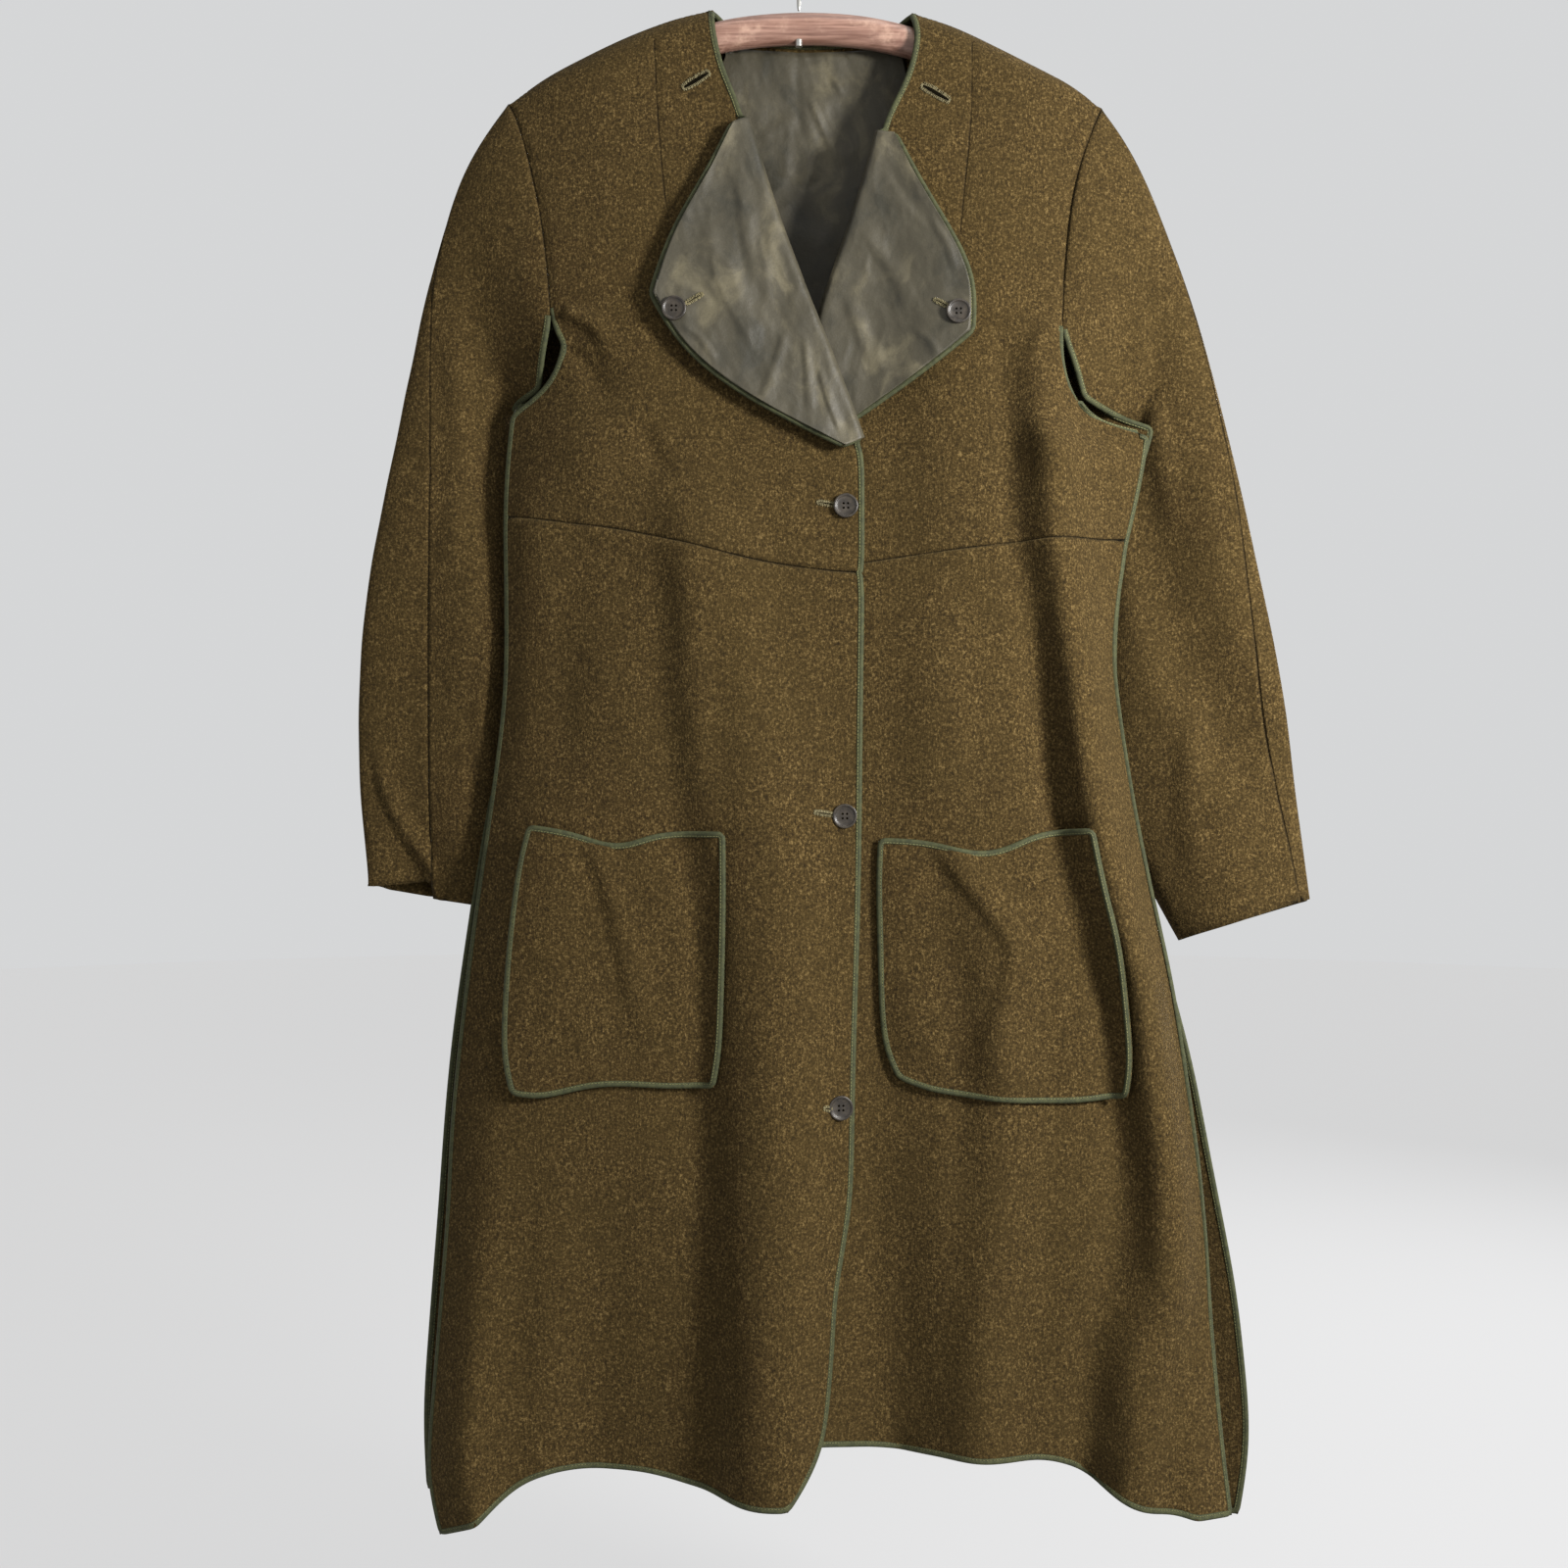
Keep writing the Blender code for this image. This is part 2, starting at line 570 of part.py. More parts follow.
def upper_front(side):
    panel = upper_front_net(side)
    lapel = lapel_net(side, panel)
    cloth("upper_front_" + side, [panel, lapel], WOOL, "wool", turned=side == "right")
    facing = [row[1:] for row in lapel_net(side, panel, lift=1.0, inset=3.0)]
    cloth("lapel_facing_" + side, [facing], SATIN, "satin", turned=side == "left")
    return panel, lapel, facing


def lower_front_net(side):
    outer = along(SIDE_LOWER[side], even(18))
    front = along(FRONT_EDGE_LOWER[side], even(18))
    top = along(CHEST_SEAM[side], even(FRONT_CELLS))
    bottom = along(HEM[side], even(FRONT_CELLS))
    flat = patch(top, bottom, outer, front)
    flat[0] = moved(flat[0], by_drop=SEAM)
    return [[(x, d, front_depth(side, x, d)) for x, d in row] for row in flat]


def lower_front(side):
    panel = lower_front_net(side)
    cloth("lower_front_" + side, [panel], WOOL, "wool", turned=side == "right")
    return panel


def depth_on(panel, x, drop):
    """Depth of a panel's own flat faces at a place, or None beside the panel."""
    for low, high in zip(panel, panel[1:]):
        for a, b, c, d in zip(low, low[1:], high[1:], high):
            for p, q, r in ((a, b, c), (a, c, d)):
                whole = (q[0] - p[0]) * (r[1] - p[1]) - (r[0] - p[0]) * (q[1] - p[1])
                at_q = ((x - p[0]) * (r[1] - p[1]) - (r[0] - p[0]) * (drop - p[1])) / whole
                at_r = ((q[0] - p[0]) * (drop - p[1]) - (x - p[0]) * (q[1] - p[1])) / whole
                if at_q >= 0 and at_r >= 0 and at_q + at_r <= 1:
                    return p[2] + at_q * (q[2] - p[2]) + at_r * (r[2] - p[2])
    return None


def proud_depth(panel, x, drop, reach=9):
    """The depth furthest forward within a short reach, so that a piece clears the panel."""
    around = [depth_on(panel, x + i * reach, drop + j * reach) for i in (-1, 0, 1) for j in (-1, 0, 1)]
    return min(depth for depth in around if depth is not None)


def back_net():
    seam_marks = TURN_MARKS + [0.25, 0.42, 0.6, 0.8, 1]
    sides = {}
    for side in SIGN:
        sides[side] = chain((ARMHOLE_SEAM[side], seam_marks), (BACK_LOW[side], LOW_MARKS),
                            (BACK_SIDE_UPPER[side], even(2)), (BACK_SIDE[side], even(13)))
    top = chain((list(reversed(SHOULDER["right"])), even(5)), (BACK_NECK, even(6)), (SHOULDER["left"], even(5)))
    bottom = along(BACK_HEM, even(16))
    flat = patch(top, bottom, sides["right"], sides["left"])
    relax(flat)
    return [[(x, d, back_depth(x, d) + SEAM * 2) for x, d in row] for row in flat]


def back_lining():
    side_a = along([(-54, 27), (-78, 120), (-92, 240), (-96, 340)], even(9))
    side_b = along([(76, 27), (98, 120), (112, 240), (116, 340)], even(9))
    top = along([(-54, 27), (8, 31), (76, 27)], even(6))
    bottom = along([(-96, 340), (10, 346), (116, 340)], even(6))
    flat = patch(top, bottom, side_a, side_b)
    net = [[(x, d, back_depth(x, d)) for x, d in row] for row in flat]
    cloth("back_lining", [net], SATIN, "satin", turned=True)


# ---- sleeves --------------------------------------------------------------------------
RING_BLEND = [0, 0.35, 0.7, 1]


def sleeve_point(side, k, angle):
    """A point on ring k; angle runs from 0 at the outline, over the front, to 180 inside.

    A negative angle is on the back of the sleeve.
    """
    rings = SLEEVE_RINGS[side]
    ring = rings[k]
    across = math.cos(math.radians(abs(angle)))
    share = (1 - across) / 2
    on_front = angle >= 0
    seam = along(ARMHOLE_SEAM[side], [share])[0]
    keep = max(0.0, 1 - k / 4)
    x, drop = mix_point(ring.outer, ring.inner, share)
    first_x, first_drop = mix_point(rings[0].outer, rings[0].inner, share)
    x += (seam[0] - first_x) * keep
    drop += (seam[1] - first_drop) * keep
    inner = ring.front_depth if on_front else ring.back_depth
    bulge = -ring.front_bulge if on_front else ring.back_bulge
    depth = mix(ring.outer_depth, inner, share) + bulge * math.sqrt(max(0.0, 1 - across * across))
    if k < len(RING_BLEND):
        form = front_depth(side, *seam) if on_front else back_depth(*seam) + SEAM * 2
        depth = mix(form, depth, RING_BLEND[k])
    if on_front:
        depth -= slanted_rise(SLEEVE_FOLDS[side], x, drop) * math.sqrt(max(0.0, 1 - across ** 4)) * min(1, k / 3)
    if k == 0:
        x += SIGN[side] * SEAM * 3
    return x, drop, depth


def sleeve(side):
    """Front and back half of a sleeve, parted at the elbow seam and at the under seam."""
    front, back = [], []
    for k, ring in enumerate(SLEEVE_RINGS[side]):
        seam = ring.seam
        gap = mix(3, 0.7, seam / 90)
        fronts = [seam + gap + (180 - seam - gap) * n / 6 for n in range(7)]
        backs = [seam - (180 + seam) * n / 8 for n in range(9)]
        front.append([sleeve_point(side, k, angle) for angle in fronts])
        back.append([sleeve_point(side, k, angle) for angle in backs])
        if ring.front_depth == ring.back_depth:
            x, drop, depth = front[-1][-1]
            front[-1][-1] = (x + SIGN[side] * 0.6, drop, depth - 0.8)
            back[-1][-1] = (x + SIGN[side] * 0.6, drop, depth + 0.8)
    cloth("sleeve_" + side + "_front", [front], WOOL, "wool", turned=side == "right")
    cloth("sleeve_" + side + "_back", [back], WOOL, "wool", turned=side == "left")
    return front, back


# ---- what lies on the panels ----------------------------------------------------------
def pocket(side, panel):
    edges = POCKET[side]
    top = along(edges.top, even(8))
    bottom = along(edges.bottom, even(8))
    flat = patch(top, bottom, along(edges.side_a, even(8)), along(edges.side_b, even(8)))
    folds = POCKET_FOLDS[side]
    net = [[(x, d, proud_depth(panel, x, d) - WOOL - POCKET_STAND - slanted_rise(folds, x, d))
            for x, d in row] for row in flat]
    cloth("pocket_" + side, [net], WOOL, "wool", turned=True)
    rim = [(net[0][i], net[1][i]) for i in range(8)]
    rim += [(net[j][-1], net[j][-2]) for j in range(8)]
    rim += [(net[-1][8 - i], net[-2][8 - i]) for i in range(8)]
    rim += [(net[8 - j][0], net[8 - j][1]) for j in range(8)]
    tube("tape_pocket_" + side, edge_path(rim, 1, closed=True), TAPE_RADIUS - 0.2, "tape", closed=True)


def button(name, x, drop, panel, wall):
    """A turned button with a raised rim and a short shank, set square to the cloth under it."""
    step = 6
    left, right, up, down = [
        place(x + dx, drop + dy, depth_on(panel, x + dx, drop + dy))
        for dx, dy in ((-step, 0), (step, 0), (0, -step), (0, step))]
    out = (down - up).cross(right - left).normalized()
    here = place(x, drop, depth_on(panel, x, drop) - wall)
    profile = [(0, -0.7), (2.4, -0.7), (2.4, 0), (6.4, 0), (BUTTON_RADIUS, 1.6), (BUTTON_RADIUS, 2.6), (7.6, 3.6), (5.6, 2.4), (0, 2.3)]
    mesh = bmesh.new()
    corners = [mesh.verts.new((radius * MM, 0, height * MM)) for radius, height in reversed(profile)]
    for a, b in zip(corners, corners[1:]):
        mesh.edges.new((a, b))
    data = bpy.data.meshes.new(name)
    mesh.to_mesh(data)
    mesh.free()
    made = add_object(name, data, "button")
    turn = made.modifiers.new("turn", "SCREW")
    turn.steps = turn.render_steps = 14
    turn.use_merge_vertices = True
    turn.merge_threshold = 0.00001
    made.location = here + out * BUTTON_STAND * MM
    made.rotation_mode = "QUATERNION"
    made.rotation_quaternion = out.to_track_quat("Z", "Y")


# ---- tapes on the raw edges -------------------------------------------------------------
def inward(side, edge, reach=7):
    """Places a short way inside an edge that runs up the side, square to it."""
    found = []
    for before, here, after in zip([edge[0], *edge], edge, [*edge[1:], edge[-1]]):
        across, down = after[0] - before[0], after[1] - before[1]
        length = math.hypot(across, down) * SIGN[side]
        x, drop = here[0] + down / length * reach, here[1] - across / length * reach
        found.append((x, drop, front_depth(side, x, drop)))
    return found


def front_tape(side, upper, lapel, lower):
    """Round the neck, the lapel, the front edge, the hem, the side and the low armhole."""
    path_side = 1 if side == "left" else -1
    neck = [(row[-1], row[-2]) for row in upper[2:FOLD_START + 1]]
    rim = [(row[-1], row[-2]) for row in lapel]
    edge = [(row[-1], row[-2]) for row in upper[FOLD_START + FOLD_CELLS + 1:]]
    edge += [(row[-1], row[-2]) for row in lower[1:-1]]
    corner = [(lower[-1][-1], lower[-2][-2])]
    hem = [(lower[-1][i], lower[-2][i]) for i in range(FRONT_CELLS - 1, 0, -1)]
    other = [(lower[-1][0], lower[-2][1])]
    side_up = [(row[0], row[1]) for row in reversed(lower[1:-1])]
    seam_row = len(TURN_MARKS) + 4
    up = [row[0] for row in reversed(upper[seam_row:])]
    side_up += list(zip(up, inward(side, up)))
    # The wall of the lapel stands on the other side once the cloth is turned over.
    path = edge_path(neck, path_side)
    path[-1] += Vector((0, -5.5, 0)) * MM
    path += edge_path(rim, path_side)
    fold_end = place(*upper[FOLD_START + FOLD_CELLS][-1])
    path.append(fold_end + Vector((-SIGN[side] * 2.6, -6.5, 0)) * MM)
    path += edge_path(edge + corner + hem + other + side_up, path_side, trim=(0, 1))
    tube("tape_front_" + side, path, TAPE_RADIUS, "tape")


def back_tapes(net):
    seam_row = len(TURN_MARKS) + 4
    left = [(row[-1], row[-2]) for row in net[seam_row:-1]]
    corner = [(net[-1][-1], net[-2][-2])]
    hem = [(net[-1][i], net[-2][i]) for i in range(15, 0, -1)]
    other = [(net[-1][0], net[-2][1])]
    right = [(row[0], row[1]) for row in reversed(net[seam_row:-1])]
    path = edge_path(left + corner + hem + other + right, -1, trim=(1, 1))
    tube("tape_back", path, TAPE_RADIUS, "tape")
    neck = [(net[0][i], net[1][i]) for i in range(5, 12)]
    tube("tape_back_neck", edge_path(neck, -1, trim=(1, 1)), TAPE_RADIUS - 0.3, "tape")


def sleeve_tape(side, front, back):
    """Round the open under part of the sleeve, from the front seam to the back seam."""
    rings = SLEEVE_RINGS[side]
    last = max(k for k, ring in enumerate(rings) if ring.front_depth != ring.back_depth)
    wall = 1 if side == "right" else -1
    closing = last + 1
    path = edge_path([(front[k][-1], front[k][-2]) for k in range(closing + 1)], wall, trim=(1, 0))
    rising = edge_path([(back[k][-1], back[k][-2]) for k in range(closing, -1, -1)], wall, trim=(0, 1))
    path[-1] = ((path[-1] + rising[0]) / 2).lerp((path[-2] + rising[1]) / 2, 0.25)
    path += rising[1:]
    tube("tape_sleeve_" + side, path, TAPE_RADIUS - 0.3, "tape")


# ---- hanger -----------------------------------------------------------------------------
def hanger_bar():
    """A rounded wooden bar, bent down to both shoulders."""
    sections = [s._replace(x=-s.x) for s in reversed(BAR_HALF[1:])] + BAR_HALF
    around = 12
    net = []
    for section in sections:
        ring = []
        for k in range(around + 1):
            angle = 2 * math.pi * k / around
            flat = abs(math.cos(angle)) ** 0.9 * math.copysign(1, math.cos(angle))
            tall = abs(math.sin(angle)) ** 0.9 * math.copysign(1, math.sin(angle))
            middle = section.drop + section.height / 2 - section.x * BAR_TILT
            drop = middle - tall * section.height / 2
            ring.append(Vector((section.x, flat * section.depth / 2, -BAR_DROP - drop)) * MM)
        net.append(ring)
    mesh = bmesh.new()
    made = bmesh.ops.create_grid(mesh, x_segments=around, y_segments=len(net) - 1, size=1)
    for corner in made["verts"]:
        i = round((corner.co.x + 1) / 2 * around)
        j = round((corner.co.y + 1) / 2 * (len(net) - 1))
        corner.co = net[j][i]
    bmesh.ops.remove_doubles(mesh, verts=mesh.verts[:], dist=0.00001)
    bmesh.ops.holes_fill(mesh, edges=mesh.edges[:])
    bmesh.ops.recalc_face_normals(mesh, faces=mesh.faces[:])
    data = bpy.data.meshes.new("hanger_bar")
    mesh.to_mesh(data)
    mesh.free()
    data.shade_smooth()
    add_object("hanger_bar", data, "wood")


def hanger_hook():
    """Steel wire: a straight stem on the bar, a bend out and the crook over the rail."""
    centre = WIRE_RADIUS - HOOK_RADIUS
    foot = -BAR_DROP + 0.3
    points = [(0, foot), (0, foot + 12), (0, foot + 20), (-2.5, foot + 27), (-8.5, foot + 34)]
    for step in range(13):
        angle = math.radians(mix(215, HOOK_TIP_ANGLE, step / 12))
        points.append((math.cos(angle) * HOOK_RADIUS, centre + math.sin(angle) * HOOK_RADIUS))
    tube("hanger_hook", [Vector((x, 0, z)) * MM for x, z in points], WIRE_RADIUS, "steel", sides_level=2)


# ---- the coat ---------------------------------------------------------------------------
def main():
    clear_scene()
    parts = bpy.data.collections.new("wool_overcoat")
    bpy.context.scene.collection.children.link(parts)
    hanger_bar()
    hanger_hook()
    fronts = {}
    for side in SIGN:
        upper, lapel, facing = upper_front(side)
        lower = lower_front(side)
        fronts[side] = (upper, lower)
        front_tape(side, upper, lapel, lower)
        front, back = sleeve(side)
        sleeve_tape(side, front, back)
        pocket(side, lower)
        button("button_lapel_" + side, *LAPEL_BUTTON[side], facing, SATIN)
    net = back_net()
    cloth("back", [net], WOOL, "wool")
    back_tapes(net)
    back_lining()
    for number, (x, drop) in enumerate(FRONT_BUTTONS, 1):
        panel = fronts["right"][0 if number == 1 else 1]
        button("button_front_%d" % number, x, drop, panel, WOOL)


main()
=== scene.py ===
# %% [markdown]
# # A wool overcoat on a wooden hanger
# A collarless coat liner of heavy felted wool, cut from flat panels, with satin on the
# turned lapels and a narrow tape bound round every raw edge.  The CAD model gives each
# panel its place and its main folds.  This lesson makes a finer copy of every panel, adds
# the small relief of real cloth and sews on what a CAD model leaves out.
#
# Places on the cloth are x and drop, in millimetres, seen square on from the front: x runs
# towards the wearer's left, and drop runs down from the top of the bar.

# %% Load the model
import math
import random
from collections import namedtuple
from itertools import groupby

import bmesh
import bpy
import numpy as np
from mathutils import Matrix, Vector, noise
from mathutils.bvhtree import BVHTree
from mathutils.kdtree import KDTree


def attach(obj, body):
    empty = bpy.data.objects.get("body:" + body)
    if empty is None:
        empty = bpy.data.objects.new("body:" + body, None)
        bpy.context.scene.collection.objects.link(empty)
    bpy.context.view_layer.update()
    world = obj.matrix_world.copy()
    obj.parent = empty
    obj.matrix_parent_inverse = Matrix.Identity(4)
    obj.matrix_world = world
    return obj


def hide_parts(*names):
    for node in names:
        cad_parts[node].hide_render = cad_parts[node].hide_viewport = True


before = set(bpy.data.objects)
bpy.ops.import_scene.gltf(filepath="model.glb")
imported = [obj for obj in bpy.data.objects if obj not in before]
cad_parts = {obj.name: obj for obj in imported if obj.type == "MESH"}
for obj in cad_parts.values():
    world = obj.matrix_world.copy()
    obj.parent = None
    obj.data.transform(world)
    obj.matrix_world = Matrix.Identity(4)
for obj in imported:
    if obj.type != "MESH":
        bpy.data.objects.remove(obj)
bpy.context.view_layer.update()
bpy.ops.object.select_all(action="DESELECT")
MM = 0.001
SIDES = ("right", "left")
print("CAD nodes:", len(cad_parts))

# %% [markdown]
# ## The camera
# The photograph was taken square on from nearby, so near folds look a little larger than
# the edges.  A camera at the same distance gives the same drawing, and its lens follows
# from the width that the picture spans at the hanger.

# %% Camera
BAR_DROP = 75.0            # the top of the bar, below the inside of the hook
EYE_X, EYE_DROP, EYE_DISTANCE = -11.0, 575.0, 1350.0
EYE = Vector((EYE_X, -EYE_DISTANCE, -BAR_DROP - EYE_DROP)) * MM
PICTURE_WIDTH = 1168 * MM
SENSOR = 36.0

camera_data = bpy.data.cameras.new("camera")
camera_data.sensor_width = SENSOR
camera_data.lens = SENSOR * -EYE.y / PICTURE_WIDTH
camera = bpy.data.objects.new("camera", camera_data)
camera.location = EYE
camera.rotation_euler = (math.pi / 2, 0, 0)
bpy.context.scene.collection.objects.link(camera)
bpy.context.scene.camera = camera
print("lens:", round(camera_data.lens, 1), "mm")

# %% [markdown]
# ## Reading places from the front
# A fold is easiest to place as the photograph shows it.  So every point of the cloth is
# turned into x and drop, the way it looks from the camera, and the tables of folds are
# written in those two numbers.  Soft curves (Catmull-Rom) draw a fold's path through its points.

# %% Places and soft curves


def read_front(points):
    """x and drop, in millimetres, of points in metres."""
    scale = 1 + points[:, 1] / MM / EYE_DISTANCE
    x = EYE_X + (points[:, 0] / MM - EYE_X) / scale
    drop = EYE_DROP + (-points[:, 2] / MM - BAR_DROP - EYE_DROP) / scale
    return np.stack([x, drop], axis=1)


def soft_line(path, steps=6):
    ends = np.array([path[0], *path, path[-1]], float)
    line = []
    for before, a, b, after in zip(ends, ends[1:], ends[2:], ends[3:]):
        for t in np.arange(steps) / steps:
            line.append(0.5 * (2 * a + (b - before) * t + (2 * before - 5 * a + 4 * b - after) * t * t
                               + (3 * a - before - 3 * b + after) * t ** 3))
    return np.array([*line, ends[-1]])


def near_path(places, path):
    """For each place: distance to a soft path, side of it, and share of its length."""
    line = soft_line(path)
    spans = np.linalg.norm(line[1:] - line[:-1], axis=1)
    reach = np.concatenate([[0], np.cumsum(spans)])
    distance = np.full(len(places), 1e9)
    side = np.zeros(len(places))
    share = np.zeros(len(places))
    for k, span in enumerate(spans):
        along = line[k + 1] - line[k]
        off = places - line[k]
        t = np.clip(off @ along / max(span * span, 1e-9), 0, 1)
        gap = np.linalg.norm(off - t[:, None] * along, axis=1)
        nearer = gap < distance
        distance[nearer] = gap[nearer]
        side[nearer] = np.sign(along[0] * off[nearer, 1] - along[1] * off[nearer, 0])
        share[nearer] = (reach[k] + t[nearer] * span) / reach[-1]
    return distance, side, share


print("soft curve with", len(soft_line([(0, 0), (10, 5), (20, 0)])), "points")

# %% [markdown]
# ## Folds
# Hanging wool makes long, soft ridges and hollows.  Each is a path with a width and a rise
# at both ends.  Lean makes one flank steeper than the other, as gravity and the pull of a
# seam do, and fade is the share of the path over which each end dies out.  Cloth is never
# quite smooth, so a gentle ripple is added.

# %% Folds and ripples
Fold = namedtuple("Fold", "path width rise lean fade", defaults=(0.0, (0.25, 0.25)))


def smooth_step(t):
    t = np.clip(t, 0, 1)
    return t * t * (3 - 2 * t)


def fold_rise(folds, places):
    """How far the folds lift the cloth at each place, in millimetres."""
    total = np.zeros(len(places))
    for fold in folds:
        wide = max(fold.width) * (1 + abs(fold.lean))
        corners = np.array(fold.path, float)
        low, high = corners.min(axis=0) - wide, corners.max(axis=0) + wide
        inside = np.all((places > low) & (places < high), axis=1)
        if not inside.any():
            continue
        distance, side, share = near_path(places[inside], fold.path)
        width = (fold.width[0] + (fold.width[1] - fold.width[0]) * share) * (1 - fold.lean * side)
        rise = fold.rise[0] + (fold.rise[1] - fold.rise[0]) * share
        ends = smooth_step(share / max(fold.fade[0], 1e-6)) * smooth_step((1 - share) / max(fold.fade[1], 1e-6))
        total[inside] += rise * ends * np.cos(np.clip(distance / width, 0, 1) * math.pi / 2) ** 2
    return total


def ripple(places, size, height, seed):
    """An uneven surface: size is the length of a wave across and down the cloth."""
    return height * np.array([noise.noise((x / size[0], drop / size[1], seed)) for x, drop in places])


middle_of_fold = fold_rise([Fold([(0, 0), (0, 100)], (10, 10), (5, 5))], np.array([(0.0, 50.0)]))
print("a fold of 5 mm lifts its middle by", middle_of_fold, "mm")

# %% [markdown]
# Where things are on the real coat: its seams and darts, and the finer folds that ride on
# the large ones of the CAD, read from the photograph.

# %% Tables of seams and folds
CHEST_SEAM = {
    "right": [(-217, 377), (-142, 383), (-84, 396), (-40, 407), (11, 415), (48, 418)],
    "left": [(244, 393), (179, 394), (135, 398), (91, 404), (51, 410), (20, 415)],
}
ARMHOLE_SEAM = {
    "right": [(-215, 70), (-207, 86), (-197, 125), (-190, 161), (-186, 198), (-184, 233)],
    "left": [(224, 73), (213, 99), (203, 136), (199, 171), (196, 208), (195, 240)],
}
DART = {
    "right": [(-108, 20), (-105, 80), (-100, 136), (-96, 158)],
    "left": [(129, 22), (128, 80), (123, 134), (120, 167)],
}
CUFF_STITCHES = {
    "right": [(-268, 653), (-255, 656), (-240, 660), (-228, 663)],
    "left": [(279, 682), (320, 673), (352, 665), (384, 657)],
}
FRONT_FOLDS = [
    Fold([(-92, 310), (-84, 345), (-76, 430), (-72, 502), (-64, 575), (-50, 648), (-44, 720), (-42, 865),
          (-40, 1012), (-36, 1150)], (52, 60), (12, 15), 0.34, (0.16, 0.001)),
    Fold([(176, 200), (180, 290), (184, 335), (185, 372), (195, 429), (205, 502), (213, 575), (228, 648),
          (248, 720), (258, 794), (266, 867), (262, 940), (246, 1012), (238, 1150)], (37, 43), (20, 28), 0.16,
         (0.1, 0.001)),
    Fold([(186, 380), (193, 450), (202, 520), (210, 590), (227, 660), (246, 730), (254, 800), (258, 880)],
         (30, 34), (11, 12), 0.3, (0.35, 0.35)),
    Fold([(-213, 290), (-213, 421), (-218, 501), (-225, 575), (-234, 648), (-241, 728), (-251, 794),
          (-259, 859), (-266, 947), (-273, 1150)], (92, 90), (8, 9), 0, (0.12, 0.001)),
    Fold([(-166, 320), (-164, 421), (-168, 501), (-174, 575), (-182, 650)], (60, 60), (-11, -8), 0.3,
         (0.25, 0.35)),
    Fold([(124, 600), (134, 660), (146, 720), (150, 794), (150, 867), (146, 940), (138, 1012), (137, 1150)],
         (38, 42), (7, 10), 0.1, (0.2, 0.001)),
    Fold([(60, 640), (66, 760), (62, 900), (64, 1150)], (34, 44), (-2, -4), 0.2, (0.4, 0.001)),
    Fold([(-168, 800), (-176, 930), (-184, 1150)], (34, 46), (3, 8), 0.2, (0.5, 0.001)),
    Fold([(-112, 820), (-108, 940), (-114, 1150)], (26, 36), (-1, -5), 0.1, (0.5, 0.001)),
]
UNDERARM_FOLDS = [
    Fold([(-178, 226), (-166, 228), (-150, 238), (-136, 268)], (9, 16), (5, 3), 0.35, (0.1, 0.6)),
    Fold([(-176, 250), (-160, 262), (-142, 300)], (9, 14), (-3, -1.5), 0, (0.1, 0.5)),
    Fold([(-120, 300), (-108, 330), (-96, 352)], (12, 14), (-3, -2.5), 0, (0.4, 0.4)),
    Fold([(194, 236), (182, 240), (168, 262)], (8, 12), (3, 2), 0, (0.15, 0.5)),
]
BACK_FOLDS = [
    Fold([(-150, 330), (-140, 520), (-150, 700)], (26, 30), (5, 6)),
    Fold([(20, 150), (10, 420), (16, 700)], (30, 36), (4, 5)),
    Fold([(90, 380), (84, 600), (92, 780)], (24, 28), (-4, -5)),
    Fold([(-80, 800), (-74, 950), (-88, 1160)], (22, 28), (5, 7), 0, (0.3, 0.001)),
    Fold([(170, 640), (180, 850), (192, 1160)], (24, 34), (5, 7), 0, (0.3, 0.001)),
]
SLEEVE_FOLDS = {
    "right": [
        Fold([(-321, 535), (-315, 555), (-306, 585), (-285, 626), (-274, 648), (-269, 664)], (6, 10.5), (3, 7),
             0.5, (0.25, 0.001)),
        Fold([(-300, 330), (-262, 350), (-226, 352)], (12, 12), (-2.6, -2.6)),
        Fold([(-216, 420), (-232, 520), (-226, 590)], (14, 14), (3.5, 3.5)),
        Fold([(-262, 210), (-252, 320), (-262, 430)], (16, 18), (3, 3)),
    ],
    "left": [
        Fold([(360, 560), (330, 585), (290, 596)], (14, 14), (3.5, 3)),
        Fold([(262, 320), (276, 430), (302, 502), (342, 575), (356, 630)], (42, 44), (-9, -8), 0.1, (0.2, 0.4)),
        Fold([(250, 210), (268, 320), (284, 400)], (14, 16), (3, 3)),
        Fold([(330, 440), (296, 470), (262, 500)], (14, 14), (-2, -2)),
        Fold([(300, 500), (290, 580), (300, 650)], (16, 18), (3, 3)),
    ],
}
# Where a sleeve hangs against the body, only its front half swells out.
SLEEVE_SWELL = {
    "right": Fold([(-230, 320), (-236, 420), (-240, 520), (-246, 600), (-252, 670)], (50, 50), (12, 9), 0,
                  (0.3, 0.01)),
    "left": Fold([(360, 520), (372, 600), (384, 680)], (60, 70), (-6, -8), 0, (0.5, 0.01)),
}
POCKET_FOLDS = {
    "right": [Fold([(-160, 616), (-146, 640), (-128, 706), (-112, 786)], (15, 20), (3.4, 2.6), 0.3, (0.1, 0.4)),
              Fold([(-90, 640), (-84, 780)], (14, 14), (1.2, 1.2))],
    "left": [Fold([(100, 620), (138, 664), (160, 704), (140, 770), (116, 806)], (16, 22), (3.8, 3), 0.3,
                  (0.1, 0.3)),
             Fold([(206, 650), (222, 770)], (14, 14), (1.4, 1.4))],
}
print("front folds:", len(FRONT_FOLDS) + len(UNDERARM_FOLDS), "back folds:", len(BACK_FOLDS))

# %% [markdown]
# ## A finer copy of a CAD panel
# A CAD solid arrives as loose triangles.  The copy is merged, its triangles are joined to
# squares, and its raw edges are creased, so that a Subdivision Surface rounds the cloth
# and keeps the edge crisp.  The tapes need to know the cloth's two skins and the narrow
# rim between them, so these are told apart here.

